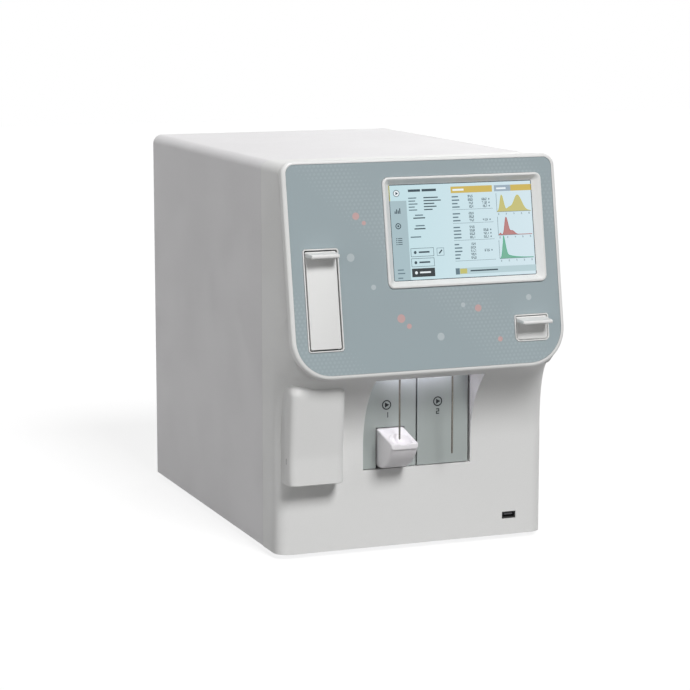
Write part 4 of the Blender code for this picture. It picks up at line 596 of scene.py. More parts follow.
def corner_run(z):
    """How far the round corner runs across and back at each height."""
    share = np.clip((z - CURVE_START_Z) / CURVE_RISE, 0, 1)
    across = CORNER_RADIUS + (FASCIA_LOW_RADIUS - CORNER_RADIUS) * share
    back = CORNER_RADIUS - front_line(z)
    height = (z - CURVE_END_Z) / cos(HEAD_TILT)
    drop = np.clip(FASCIA_LOW_RADIUS - height, 0, FASCIA_LOW_RADIUS)
    head_across = FASCIA_LOW_RADIUS - np.sqrt(FASCIA_LOW_RADIUS ** 2 - drop ** 2)
    across = np.where(height > 0, np.maximum(head_across, HEAD_CORNER), across)
    fade = np.clip((height - FASCIA_LOW_RADIUS) / FLANK_BLEND, 0, 1)
    return across, back + (HEAD_CORNER - back) * np.where(height > 0, fade, 0)


def casing_rows(heights, columns):
    """Points of the casing's front and sides: a quarter ellipse rounds each corner."""
    across, back = corner_run(heights)
    front = front_line(heights)
    fall = np.maximum(0, heights - WALL_TOP_Z)
    drawn = COVER_FILLET - np.sqrt(np.maximum(0, COVER_FILLET ** 2 - fall ** 2))
    half = (HALF - np.minimum(drawn, COVER_FILLET * 0.92))[:, None]
    x = columns * half / HALF
    lean = np.clip(1 - (half - np.abs(x)) / across[:, None], 0, 1)
    y = front[:, None] + back[:, None] * (1 - np.sqrt(1 - lean ** 2))
    z = np.repeat(heights[:, None], len(columns), axis=1)
    middle = np.stack([x, y + FRONT_Y, z], axis=-1)
    sides = []
    for share in (0, 0.34, 0.67):
        left = middle[:, 0] * [1, share, 1] + [0, SEAM_Y * (1 - share), 0]
        sides.append(left)
    left = np.stack(sides, axis=1)
    right = left[:, ::-1] * [-1, 1, 1]
    return np.concatenate([left, middle, right], axis=1)


def in_casing_hole(centre):
    """Whether a face of the casing lies in one of its four openings."""
    x, z = centre[:, 0], centre[:, 2]
    height = (z - CURVE_END_Z) / cos(HEAD_TILT)
    facing = centre[:, 1] < FRONT_Y + CORNER_RADIUS
    niche = (x > NICHE_LEFT) & (x < NICHE_RIGHT) & (z > NICHE_BASE_Z) & (z < NICHE_TOP_Z)
    port = ((x > PORT_LOW.x - GAP) & (x < PORT_HIGH.x + GAP) & (z > PORT_LOW.z - GAP)
            & (z < PORT_HIGH.z + GAP))
    mixer = ((x > ROTOR_LOW.x - 0.0015) & (x < ROTOR_HIGH.x + 0.0015) & (z > 0.0905)
             & (z < 0.1435) & facing)
    head = ((np.abs(x) < HALF - RIM_FLANGE) & (height > RIM_FLANGE)
            & (height < FASCIA_HEIGHT - RIM_FLANGE * 1.5))
    return niche | port | mixer | head


def make_front_casing():
    """A fine grid over the casing, without the faces that lie in its openings."""
    flat = np.linspace(BODY_Z, CURVE_START_Z, 10)
    curve = np.linspace(CURVE_START_Z, CURVE_END_Z, 40)
    flank = np.linspace(CURVE_END_Z, CURVE_END_Z + 0.062 * cos(HEAD_TILT), 26)
    fillet = WALL_TOP_Z + COVER_FILLET * np.sin(np.linspace(0, pi / 2, 12))
    cuts = [PORT_LOW.z - GAP, PORT_HIGH.z + GAP, NICHE_BASE_Z, NICHE_TOP_Z, 0.0905, 0.1435,
            CURVE_END_Z + RIM_FLANGE * cos(HEAD_TILT)]
    heights = np.unique(np.round(np.concatenate([flat, curve, flank, fillet, cuts]), 6))
    near = 0.042 * (np.arange(EDGE_COLUMNS) / (EDGE_COLUMNS - 1)) ** 2
    stops = [NICHE_LEFT, NICHE_RIGHT, PORT_LOW.x - GAP, PORT_HIGH.x + GAP, RIM_FLANGE - HALF,
             HALF - RIM_FLANGE, ROTOR_LOW.x - 0.0015, ROTOR_HIGH.x + 0.0015]
    columns = np.concatenate([near - HALF, HALF - near, np.linspace(-0.1, 0.1, 21), stops])
    columns = np.unique(np.round(columns, 6))
    rows = casing_rows(heights, columns)
    points, faces = grid(rows)
    centres = points[np.array(faces)].mean(axis=1)
    kept = [face for face, hole in zip(faces, in_casing_hole(centres)) if not hole]
    width = rows.shape[1]
    kept.append(list(range(len(points) - width, len(points))))
    piece("casing_front", (points, kept), MOULDING, nodes=["front_casing"], edge=0.0007,
          wall=CASING_WALL)


make_front_casing()

# %% [markdown]
# Behind the seam a sheet-metal cover wraps both sides and the top. It would be folded from one
# sheet, rolled round at the two upper edges, deburred and powder coated a shade greyer than
# the moulding.

# %% Cabinet cover
COVER_WALL = 0.002


def make_cover():
    """An arch drawn front and back, outside and inside, joined into one thin sheet."""
    def arch(inset, depth):
        """From the lower right over the top to the lower left."""
        radius = COVER_FILLET - inset
        curve = np.array(bend((HALF - COVER_FILLET, TOP_Z - COVER_FILLET), radius, 0, 90, 14))
        half = np.concatenate([[[HALF - inset, BODY_Z]], curve])
        return stood(np.concatenate([half, half[::-1] * [-1, 1]]), depth)
    front, back = SEAM_Y + GAP, REAR_Y
    rows = [arch(0, front), arch(0, back), arch(COVER_WALL, back), arch(COVER_WALL, front)]
    points, faces = grid(rows, wrap_along=True)
    width = len(rows[0])
    faces += [[0, width, 2 * width, 3 * width],
              [width - 1, 4 * width - 1, 3 * width - 1, 2 * width - 1]]
    piece("cover_sheet", (points, faces), COVER, nodes=["cabinet_cover"], edge=0.0008)


make_cover()

# %% [markdown]
# The fascia is a moulded white frame with a round nose. A thin printed membrane lies in its
# recess and leaves only the nose showing as a rim. Both are pierced for the screen, the tube
# door and the pipette drawer.

# %% Fascia rim, overlay and their finish
RIM_WIDTH = 0.0042
RIM_ROUND = 0.0035
OVERLAY_RECESS = 0.0012
OVERLAY_THICKNESS = 0.0006
OVERLAY_COLOUR = (0.345, 0.415, 0.44)
OVERLAY_PALE = (0.46, 0.53, 0.55, 1)
DOT_PITCH = 0.0044
ACCENTS = (("rose", (0.60, 0.40, 0.39), ((-0.072, 0.158, 0.0036), (-0.064, 0.151, 0.0022),
                                         (-0.031, 0.056, 0.0042), (-0.023, 0.048, 0.0026),
                                         (0.052, 0.062, 0.0036), (0.074, 0.030, 0.0026))),
           ("pale", (0.50, 0.56, 0.58), ((-0.080, 0.118, 0.0040), (-0.058, 0.088, 0.0026),
                                         (0.010, 0.036, 0.0038), (0.036, 0.066, 0.0024),
                                         (0.108, 0.070, 0.0030))))
DOOR = (-0.1295, -0.0925, 0.0277, 0.1279, 0.003, 0.003)
DRAWER = (0.0906, 0.1280, 0.0260, 0.0530, 0.005, 0.0025)
BEZEL = (-0.0425, 0.1290, 0.0853, FASCIA_HEIGHT - 0.0196, 0.0065, 0.0065)
FACE = (-HALF, HALF, 0, FASCIA_HEIGHT, FASCIA_LOW_RADIUS, FASCIA_TOP_RADIUS)


def make_fascia():
    """The rim swept round the face, with the panel behind the membrane."""
    nose = bend((RIM_ROUND, RIM_ROUND), RIM_ROUND, 180, 270, 8)
    rim = framed(FACE, [(0, FASCIA_DEPTH)] + nose + [(RIM_WIDTH, 0), (RIM_WIDTH, FASCIA_DEPTH)])
    holes = [outline(hole, -GAP)[::-1] for hole in (DOOR, DRAWER, BEZEL)]
    panel = slab([outline(FACE, RIM_WIDTH - GAP)] + holes, OVERLAY_RECESS, FASCIA_DEPTH)
    piece("fascia_rim", together(rim, panel), TRIM, nodes=["fascia_frame"], place=HEAD)
    edge = RIM_WIDTH + GAP
    back = OVERLAY_RECESS - GAP
    sheet = slab([outline(FACE, edge)] + holes, back - OVERLAY_THICKNESS, back)
    piece("face_membrane", sheet, (make_membrane(), "membrane"), nodes=["fascia_overlay"],
          place=HEAD)


def make_dot_group():
    """Round dots in staggered rows, whose size follows an input from 0 to 1."""
    tree, start, end = new_group("dot_lattice", (("Vector", "Vector", None),
                                                 ("Pitch", "Float", DOT_PITCH),
                                                 ("Size", "Float", 0.5)), (("Mask", "Float"),))
    parts = node(tree, "SeparateXYZ", {"Vector": start.outputs["Vector"]})
    pitch = start.outputs["Pitch"]
    up = maths(tree, "DIVIDE", parts.outputs["Z"], maths(tree, "MULTIPLY", pitch, 0.866))
    odd = maths(tree, "FRACT", maths(tree, "MULTIPLY", maths(tree, "FLOOR", up), 0.5))
    across = maths(tree, "ADD", maths(tree, "DIVIDE", parts.outputs["X"], pitch), odd)
    beside = maths(tree, "SUBTRACT", maths(tree, "FRACT", across), 0.5)
    above = maths(tree, "MULTIPLY", maths(tree, "SUBTRACT", maths(tree, "FRACT", up), 0.5), 0.866)
    square = maths(tree, "ADD", maths(tree, "MULTIPLY", beside, beside),
                   maths(tree, "MULTIPLY", above, above))
    distance = maths(tree, "SQRT", square)
    radius = maths(tree, "MULTIPLY", start.outputs["Size"], 0.42)
    inside = maths(tree, "MULTIPLY", maths(tree, "SUBTRACT", radius, distance), 9.0, clamp=True)
    tree.links.new(inside, end.inputs["Mask"])
    return tree


DOTS = make_dot_group()


def make_membrane():
    """The printed sheet: pale dots that swell and fade along soft diagonal bands."""
    made, tree, shader, places = start_material("printed_membrane", 0.30)
    turned_places = node(tree, "Mapping", {"Vector": places, "Location": HEAD.translation,
                                           "Rotation": (-HEAD_TILT, 0, 0)},
                         vector_type="TEXTURE").outputs[0]
    sweep = node(tree, "TexWave", {"Vector": turned_places, "Scale": 3.2, "Distortion": 2.5,
                                   "Detail": 1.0, "Detail Scale": 0.6},
                 wave_type="BANDS", bands_direction="DIAGONAL")
    size = node(tree, "MapRange", {"Value": sweep.outputs["Fac"], "From Min": 0.35,
                                   "To Max": 0.85}, interpolation_type="SMOOTHSTEP")
    dots = use_group(tree, DOTS, Vector=turned_places, Size=size.outputs[0])
    share = maths(tree, "MULTIPLY", dots.outputs[0],
                  maths(tree, "MULTIPLY", size.outputs[0], 0.42))
    printed = mixed(tree, share, (*OVERLAY_COLOUR, 1), OVERLAY_PALE)
    dress(tree, shader, places, printed, 0.30, 0.0003, 0.08, 0.04, 0.04)
    return made


def make_accents():
    """A few round spots printed on the sheet, in two pale inks."""
    front = OVERLAY_RECESS - GAP - OVERLAY_THICKNESS
    turn = np.linspace(0, 2 * pi, 40, endpoint=False)
    for name, colour, spots in ACCENTS:
        discs = [slab([np.stack([x + r * np.cos(turn), z + r * np.sin(turn)], axis=-1)],
                      front - 0.00005, front - 0.00001) for x, z, r in spots]
        ink = plain_finish("ink_" + name, "membrane", colour, 0.32, bump=0.05)
        piece("accents_" + name, together(*discs), ink, place=HEAD)


make_fascia()
make_accents()

# %% [markdown]
# The screen sits in a white bezel whose inner faces slope down to the glass, so that a wiped
# cloth reaches its edge. The bezel is moulded and snaps in from the front.

# %% Display bezel and glass
BEZEL_PROUD = 0.0015
BEZEL_SIDE = 0.0084
BEZEL_RISE = 0.0072
BEZEL_LAND = 0.0022
SCREEN_DEPTH = 0.0050
GLASS_THICKNESS = 0.0015
GLASS_EDGE = 0.0025
SCREEN = (BEZEL[0] + BEZEL_SIDE, BEZEL[1] - BEZEL_SIDE, BEZEL[2] + BEZEL_RISE,
          BEZEL[3] - BEZEL_RISE)


def drawn_in(frame_of, side, rise, radius):
    """A rounded rectangle drawn in at its sides and at its top and bottom."""
    left, right, low, high = frame_of[:4]
    return outline((left + side, right - side, low + rise, high - rise, radius, radius))


def make_bezel():
    """Rings round the bezel: outer wall, rounded edge, land, slope and the seat of the glass."""
    edge = BEZEL_PROUD * 0.8
    rows = [(0, 0, BEZEL[4], SCREEN_DEPTH + GLASS_THICKNESS)]
    for draw, depth in bend((edge, edge - BEZEL_PROUD), edge, 180, 270, 6):
        rows.append((draw, draw, BEZEL[4] - draw, depth))
    rows.append((BEZEL_LAND, BEZEL_LAND, BEZEL[4] - BEZEL_LAND, -BEZEL_PROUD))
    for share in np.linspace(0.08, 1, 9):
        ease = share * share * (3 - 2 * share) * 0.35 + share * 0.65
        rows.append((BEZEL_LAND + (BEZEL_SIDE - BEZEL_LAND) * share,
                     BEZEL_LAND + (BEZEL_RISE - BEZEL_LAND) * share,
                     BEZEL[4] - BEZEL_LAND + (0.0015 - BEZEL[4] + BEZEL_LAND) * share,
                     -BEZEL_PROUD + (SCREEN_DEPTH - GAP + BEZEL_PROUD) * ease))
    step = GLASS_EDGE + GAP
    for depth in (SCREEN_DEPTH - GAP, SCREEN_DEPTH + GLASS_THICKNESS):
        rows.append((BEZEL_SIDE - step, BEZEL_RISE - step, 0.0015, depth))
    rings = [stood(drawn_in(BEZEL, side, rise, radius), depth)
             for side, rise, radius, depth in rows]
    piece("screen_bezel", grid(rings, wrap_across=True, wrap_along=True), TRIM,
          nodes=["display_bezel"], place=HEAD)


GLASS = plain_finish("black_glass", "black", (0.01, 0.01, 0.012), 0.08, bump=0.0, smudge=0.12)
make_bezel()
piece("screen_glass", slab([drawn_in(BEZEL, BEZEL_SIDE - GLASS_EDGE, BEZEL_RISE - GLASS_EDGE,
                                     0.0015)], SCREEN_DEPTH, SCREEN_DEPTH + GLASS_THICKNESS),
      GLASS, nodes=["display_glass"], place=HEAD)

# %% [markdown]
# The picture on the screen is drawn in millimetres from the screen's upper left corner. It
# shows the layout that such analyzers use: a side strip with round symbols, a block of sample
# details with buttons, a table of counts and three count curves. Words are drawn as bars and
# counts as plain seven-stroke digits. Every patch is a flat face with a colour of its own, and
# the screen lights them from behind.

# %% Screen picture
MM = 0.001
INK = (0.03, 0.06, 0.08)
SOFT_INK = (0.12, 0.19, 0.23)
PAPER_LEFT, PAPER_RIGHT = (0.55, 0.75, 0.80), (0.66, 0.80, 0.86)
STRIP = (0.386, 0.515, 0.558)
MUSTARD = (0.62, 0.46, 0.10)
SLATE = (0.33, 0.42, 0.50)
YELLOW, RED, GREEN = (0.56, 0.50, 0.06), (0.45, 0.09, 0.08), (0.03, 0.40, 0.22)
WHITE = (0.85, 0.92, 0.95)
SCREEN_WIDE = (SCREEN[1] - SCREEN[0]) / MM
SCREEN_TALL = (SCREEN[3] - SCREEN[2]) / MM
STROKES = {"0": "abcdef", "1": "bc", "2": "abged", "3": "abgcd", "4": "fgbc", "5": "afgcd",
           "6": "afgedc", "7": "abc", "8": "abcdefg", "9": "abcdfg"}
STROKE_ENDS = {"a": (0, 0, 1, 0), "b": (1, 0, 1, 1), "c": (1, 1, 1, 2), "d": (0, 2, 1, 2),
               "e": (0, 1, 0, 2), "f": (0, 0, 0, 1), "g": (0, 1, 1, 1)}


class Picture:
    """Flat coloured patches in millimetres: across from the left, down from the top."""

    def __init__(self):
        self.points, self.faces, self.colours = [], [], []

    def patch(self, corners, colour, layer=1):
        """One face. A single colour fills it, and a list of colours gives each corner its own."""
        start = len(self.points)
        self.points += [(SCREEN[0] + across * MM, SCREEN_DEPTH - 0.0001 - layer * 0.00004,
                         SCREEN[3] - down * MM) for across, down in corners]
        self.faces.append(list(range(start, start + len(corners)))[::-1])
        many = colour if isinstance(colour, list) else [colour] * len(corners)
        self.colours += many[::-1]

    def bar(self, left, top, right, low, colour, layer=2):
        """An upright rectangle."""
        self.patch([(left, top), (right, top), (right, low), (left, low)], colour, layer)

    def box(self, left, top, right, low, colour, line=0.4):
        """An outlined rectangle, drawn as four bars."""
        self.bar(left, top, right, top + line, colour)
        self.bar(left, low - line, right, low, colour)
        self.bar(left, top, left + line, low, colour)
        self.bar(right - line, top, right, low, colour)

    def disc(self, across, down, radius, colour, layer=2, sides=28):
        """A filled circle."""
        turn = np.linspace(0, 2 * pi, sides, endpoint=False)
        self.patch([(across + radius * cos(a), down + radius * sin(a)) for a in turn], colour,
                   layer)

    def number(self, text, left, top, colour, high=2.0):
        """Seven-stroke digits. A full stop is a small square."""
        wide, line = high * 0.5, high * 0.19
        for sign in text:
            if sign in STROKES:
                for stroke in STROKES[sign]:
                    x0, y0, x1, y1 = (share * scale for share, scale in
                                      zip(STROKE_ENDS[stroke], (wide, high / 2) * 2))
                    self.bar(left + x0 - line / 2, top + y0 - line / 2, left + x1 + line / 2,
                             top + y1 + line / 2, colour, 3)
                left += wide * 1.7
            else:
                self.bar(left - line, top + high - line, left + line, top + high + line, colour, 3)
                left += wide * 0.5

    def curve(self, across, down, colour, line=0.55):
        """A line through points, as a strip of short faces."""
        across, down = np.asarray(across), np.asarray(down)
        slope = np.stack([-np.gradient(down), np.gradient(across)])
        slope *= line / 2 / np.linalg.norm(slope, axis=0)
        for i in range(len(across) - 1):
            self.patch([(across[j] + side * slope[0, j], down[j] + side * slope[1, j])
                        for j, side in ((i, 1), (i + 1, 1), (i + 1, -1), (i, -1))], colour, 4)


def draw_side_strip(picture):
    """The strip with four round symbols: start, chart, target and list."""
    picture.bar(0, 16, 18.2, SCREEN_TALL, STRIP, 1)
    picture.bar(0, 0, 1.1, 16, YELLOW)
    picture.disc(8, 8.6, 3.4, INK)
    picture.disc(8, 8.6, 2.8, WHITE, 3)
    picture.patch([(7.1, 6.9), (10, 8.6), (7.1, 10.3)], INK, 4)
    for step, tall in enumerate((2.4, 4.4, 3.2, 5.4)):
        left = 5.0 + step * 1.7
        picture.bar(left, 28.6 - tall, left + 1.1, 28.6, INK)
    picture.disc(8, 40.8, 3.0, INK)
    picture.disc(8, 40.8, 2.1, STRIP, 3)
    picture.disc(8, 40.8, 1.0, INK, 4)
    for step in range(4):
        picture.bar(4.9, 52.6 + step * 1.9, 6.0, 53.5 + step * 1.9, INK)
        picture.bar(6.9, 52.6 + step * 1.9, 11.4, 53.3 + step * 1.9, INK)
    for down, wide in ((83.4, 6.4), (86.8, 7.6), (91.4, 5.2)):
        picture.bar(4.6, down, 4.6 + wide, down + 1.1, SOFT_INK)


def draw_details(picture):
    """The sample's details and the four buttons under them."""
    for left, right in ((20.6, 33.6), (35.2, 50.6)):
        picture.bar(left, 5.2, right, 7.6, INK)
    for row, (label, value) in enumerate(((8.6, 15.5), (7.2, 18.6), (9.6, 11.4), (6.4, 13.6),
                                          (8.8, 9.2))):
        down = 13.2 + row * 2.95
        picture.bar(20.4, down, 20.4 + label, down + 1.1, SOFT_INK)
        picture.bar(36.6, down, 36.6 + value, down + 1.1, INK)
    for left, down, wide, ink in ((26.5, 30.2, 8.6, SOFT_INK), (24.5, 33.0, 12.6, INK),
                                  (26.5, 40.6, 9.6, SOFT_INK), (25.0, 43.6, 11.8, INK),
                                  (20.4, 51.6, 11.2, SOFT_INK)):
        picture.bar(left, down, left + wide, down + 1.2, ink)
    picture.box(19.6, 63.2, 44.2, 71.6, INK)
    picture.box(19.6, 73.2, 44.2, 81.6, INK)
    picture.bar(19.6, 83.2, 44.2, 91.6, (0.02, 0.03, 0.035))
    picture.box(47.4, 63.8, 55.2, 71.6, SOFT_INK)
    for top, ink in ((66.2, INK), (76.2, INK), (86.2, WHITE)):
        picture.disc(24.2, top + 1.2, 1.5, ink, 3)
        picture.bar(28.0, top + 0.3, 39.6, top + 1.9, ink, 3)
    picture.patch([(49.4, 69.8), (49.8, 68.4), (52.6, 65.4), (53.6, 66.4), (50.8, 69.4)], INK, 3)


def draw_table(picture):
    """The table of counts in four groups, under its header bar."""
    counts = np.random.default_rng(7)
    picture.bar(66.4, 3.9, 111.4, 10.4, MUSTARD)
    picture.bar(68.4, 6.3, 80.4, 8.2, WHITE, 3)
    down = 13.0
    for rows in (4, 3, 4, 5):
        for row in range(rows):
            first, second = counts.integers(10, 99), counts.integers(0, 9)
            picture.bar(67.0, down + 0.4, 67.0 + counts.integers(5, 9), down + 1.7, SOFT_INK)
            picture.number("%d.%d" % (first, second), 84.6, down, INK)
            if (rows == 4 and row) or row == 2:
                picture.number("%d.%d" % (counts.integers(10, 80), counts.integers(0, 9)), 99.6,
                               down, INK)
                picture.bar(106.6, down + 0.3, 107.9, down + 1.7, SOFT_INK)
            down += 3.42
        picture.bar(66.6, down + 0.1, 111.0, down + 0.4, SOFT_INK)
        down += 3.3


def draw_curves(picture):
    """Three count curves over ruled axes, and the bar that scrolls the page."""
    picture.bar(113.6, 4.1, 131.6, 10.2, SLATE)
    picture.bar(131.6, 4.1, SCREEN_WIDE, 10.2, MUSTARD)
    picture.bar(116.0, 6.5, 126.4, 8.2, WHITE, 3)
    across = np.linspace(0, 37, 60)
    bump = lambda centre, wide: np.exp(-((across - centre) / wide) ** 2)
    heights = (16.6 * bump(5.5, 2.6) + 3.2 * bump(13, 3.5) + 16.0 * bump(23, 6.0),
               17.6 * bump(9.0, 2.5) + 4.0 * bump(15, 3.5) + 2.0 * bump(2.0, 1.2),
               17.6 * bump(5.0, 2.2) + 9.0 * np.exp(-across / 9) * (across > 5))
    for base, high, colour in zip((30.6, 54.0, 77.4), heights, (YELLOW, RED, GREEN)):
        start = 115.6
        for i in range(len(across) - 1):
            picture.patch([(start + across[i], base), (start + across[i], base - high[i]),
                           (start + across[i + 1], base - high[i + 1]),
                           (start + across[i + 1], base)],
                          tuple(0.75 * ink + 0.15 for ink in colour), 3)
        picture.curve(start + across, base - high, colour)
        picture.bar(start - 0.4, base - 18.4, start, base + 0.4, SOFT_INK)
        picture.bar(start - 0.4, base, start + 37, base + 0.4, SOFT_INK)
        for mark in range(5):
            picture.number(str(mark * 2), start + 1 + mark * 8.4, base + 1.6, SOFT_INK, 1.5)
    picture.bar(66.4, 85.0, SCREEN_WIDE, 91.2, (0.47, 0.62, 0.66))
    picture.bar(66.4, 85.0, 70.8, 91.2, SOFT_INK, 3)
    picture.bar(71.2, 85.6, 78.8, 90.6, (0.55, 0.52, 0.16), 3)
    picture.bar(82.4, 87.4, 112.4, 88.8, INK, 3)


def screen_finish():
    """Colours read from the faces, lit from behind under smooth glass with a fine pixel grid."""
    made, tree, shader, places = start_material("lit_screen", 0.10)
    ink = node(tree, "Attribute", attribute_name="ink").outputs["Color"]
    smears = use_group(tree, SMUDGES, Vector=places, Size=0.035).outputs[0]
    tree.links.new(maths(tree, "MULTIPLY_ADD", smears, 0.10, 0.06), shader.inputs["Roughness"])
    cells = node(tree, "TexVoronoi", {"Vector": places, "Scale": 2600.0}, distance="CHEBYCHEV")
    lit = maths(tree, "MULTIPLY_ADD", cells.outputs["Distance"], -0.06, 1.03)
    glow = vectors(tree, "SCALE", ink)
    tree.links.new(lit, glow.node.inputs["Scale"])
    tree.links.new(glow, shader.inputs["Emission Color"])
    shader.inputs["Emission Strength"].default_value = 0.82
    dim = vectors(tree, "SCALE", ink)
    dim.node.inputs["Scale"].default_value = 0.15
    tree.links.new(dim, shader.inputs["Base Color"])
    return made, "screen"


def make_screen_picture():
    """Draws every part of the picture and keeps the colours as an attribute of the mesh."""
    picture = Picture()
    picture.patch([(0, 0), (SCREEN_WIDE, 0), (SCREEN_WIDE, SCREEN_TALL), (0, SCREEN_TALL)],
                  [PAPER_LEFT, PAPER_RIGHT, PAPER_RIGHT, PAPER_LEFT], 0)
    picture.box(0, 0, SCREEN_WIDE, SCREEN_TALL, INK, 0.7)
    for draw in (draw_side_strip, draw_details, draw_table, draw_curves):
        draw(picture)
    mesh = bpy.data.meshes.new("screen_picture")
    points = moved((np.array(picture.points), None), HEAD)[0]
    mesh.from_pydata(points.tolist(), [], picture.faces)
    ink = mesh.attributes.new("ink", "FLOAT_COLOR", "POINT")
    flat = np.ones((len(points), 4))
    order = [index for face in picture.faces for index in face]
    flat[order, :3] = np.array(picture.colours)
    ink.data.foreach_set("color", flat.ravel())
    shown = bpy.data.objects.new("screen_picture", mesh)
    bpy.context.scene.collection.objects.link(shown)
    material, slot = screen_finish()
    mesh.materials.append(material)
    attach(shown, "cabinet")
    print("screen picture", len(picture.faces), "patches")


make_screen_picture()

# %% [markdown]
# The tube door tips forward on a pin near its foot and brings a holder for one capped tube with
# it. It opens by a lip that stands out below its upper edge. Trim, leaf and lip are moulded.

# %% Tube door
TRIM_WIDTH = 0.0013
TRIM_PROUD = 0.0005
LEAF_THICKNESS = 0.003
LIP_ROUND = 0.0015


def make_trim(name, hole, depth, node_name):
    """A thin trim with softened edges and a sleeve that runs back into the head."""
    soft = 0.0003
    profile = [(0, depth), (0, soft - TRIM_PROUD), (soft, -TRIM_PROUD),
               (TRIM_WIDTH - soft, -TRIM_PROUD), (TRIM_WIDTH, soft - TRIM_PROUD),
               (TRIM_WIDTH, depth)]
    piece(name, framed(hole, profile), TRIM, nodes=[node_name], place=HEAD)


def lip(left, right, top, high, root, drop, reach, taper):
    """A finger lip: a blade that droops as it stands out of a leaf, with a soft nose."""
    rows = []
    for share in np.linspace(0, 1, 6):
        rows.append((taper * share, LEAF_THICKNESS / 2 + (LIP_ROUND - reach
                                                          - LEAF_THICKNESS / 2) * share, share))
    for inset, depth in bend((LIP_ROUND, LIP_ROUND - reach), LIP_ROUND, 180, 270, 6):
        rows.append((taper + inset, depth, 1))
    rings = []
    for draw, depth, share in rows:
        pinch = max(0.0, draw - taper)
        radius = max(0.0002, 0.0011 - pinch * 0.6)
        low, up = root + (high - root) * share - pinch, drop * share + pinch
        rings.append(stood(outline((left + draw, right - draw, top - low, top - up,
                                    radius, radius), steps=5), depth))
    return grid(rings, wrap_across=True, capped=True)


def leaf(hole, inset, low_radius, top_radius):
    """The flat front of a door or drawer with its edge softened."""
    frame_of = (hole[0] + inset, hole[1] - inset, hole[2] + inset, hole[3] - inset,
                low_radius, top_radius)
    profile = [(0, LEAF_THICKNESS)] + [(draw, depth) for draw, depth in
                                       bend((0.0006, 0.0006), 0.0006, 180, 270, 4)]
    return framed(frame_of, profile, False), frame_of


def make_door():
    """The leaf with its lip and knuckle, the hinge pin and the tube holder behind it."""
    make_trim("door_trim", DOOR, 0.014, "door_frame")
    front, edges = leaf(DOOR, TRIM_WIDTH + 0.0013, 0.0015, 0.0015)
    left, right, low, high = edges[:4]
    hinge = DOOR[2] + 0.0081
    knuckle = turned([(0.0003, 0), (0.003, 0), (0.003, right - left), (0.0003, right - left)],
                     (left, 0.0035, hinge), "X", 24)
    grip = lip(left, right, high - 0.0005, 0.0072, 0.0050, 0.0031, 0.0145, 0.0013)
    piece("door_leaf", together(front, grip, knuckle), TRIM, "door", ["tube_door"], place=HEAD)
    pin = DOOR[1] - DOOR[0] - 2 * GAP
    piece("hinge_pin", turned([(0.0012, 0), (0.0015, 0.0003), (0.0015, pin - 0.0003),
                               (0.0012, pin)], (DOOR[0] + GAP, 0.0035, hinge), "X", 24),
          STEEL, nodes=["door_hinge_pin"], place=HEAD)
    middle, depth = (DOOR[0] + DOOR[1]) / 2, LEAF_THICKNESS + 0.002 + 0.0105
    foot = hinge + 0.003 + 0.002
    profile = [(0.0002, 0), (0.0097, 0), (0.0105, 0.0008), (0.0105, 0.0692), (0.0101, 0.070),
               (0.0074, 0.070), (0.0070, 0.0694), (0.0070, 0.0045), (0.0060, 0.004), (0.0002, 0.004)]
    saddle = block((middle - 0.006, LEAF_THICKNESS + GAP, foot),
                   (middle + 0.006, LEAF_THICKNESS + 0.0045, foot + 0.066))
    piece("holder_cup", together(turned(profile, (middle, depth, foot)), saddle), TRIM, "door",
          ["tube_holder"], place=HEAD)


make_door()

# %% [markdown]
# The pipette drawer slides out of its trim on the sleeve round its tray. A finger lip as wide
# as the drawer pulls it, and a pocket in the tray holds a micropipette.

# %% Pipette drawer
def make_drawer():
    """Leaf and lip in front, and a tray with a pocket behind."""
    make_trim("drawer_trim", DRAWER, 0.040, "drawer_frame")
    inset = TRIM_WIDTH + 0.0008
    front, edges = leaf(DRAWER, inset, DRAWER[4] - inset, 0.0004)
    grip = lip(edges[0], edges[1], edges[3] - 0.0005, 0.0080, 0.0045, 0.0043,
               0.0165, 0.0006)
    slide = TRIM_WIDTH + GAP
    left, right, low, top = (DRAWER[0] + slide, DRAWER[1] - slide, DRAWER[2] + slide,
                             DRAWER[3] - 0.0045)
    middle = (edges[0] + edges[1]) / 2
    start, end = LEAF_THICKNESS * 0.6, LEAF_THICKNESS + 0.036
    pocket = outline((middle - 0.006, middle + 0.006, 0.008, 0.032, 0.001, 0.001), steps=4)
    floor = low + 0.005
    ring, faces = slab([outline((left, right, start, end, 0, 0), steps=1), pocket[::-1]],
                       floor, top)
    walls = ring[:, [0, 2, 1]], faces
    base = framed((left, right, low, floor, 0.0033, 0), [(0, end), (0, start)], False)
    piece("drawer_body", together(front, grip, walls, base), TRIM, "drawer",
          ["pipette_drawer"], place=HEAD)


make_drawer()

# %% [markdown]
# Under the head the casing opens into the sample niche. A one-piece white liner gives it walls,
# floor, ceiling and back. The liner's side walls follow the curve of the casing's front, so they
# show as slim white crescents. A frosted strip under the ceiling lights the needles.

# %% Niche liner and lamp
CASING_CLEAR = CASING_WALL + GAP
NICHE_WALL = 0.0025
NICHE_BACK_Y = 0.010
NICHE_REAR_Y = NICHE_BACK_Y + NICHE_WALL
NEEDLE_Y = FRONT_Y - 0.0225
BLOOD_X, DILUTE_X = NICHE_CENTRE - 0.0286, NICHE_CENTRE + 0.0286
LAMP_GLOW = 7.50
PLATE_LOW, PLATE_HIGH = NICHE_BASE_Z + 0.0008, NICHE_TOP_Z - 0.0008
PIN_Z = PLATE_HIGH - 0.006
PINS = [[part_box(name)[0].x + 0.006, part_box(name)[1].x - 0.006]
        for name in ("left_start_plate", "right_start_plate")]


def sideways(outlines, left, right):
    """A plate drawn in (y, z) between two places in x."""
    points, faces = slab(outlines, left, right)
    return points[:, [1, 0, 2]], faces


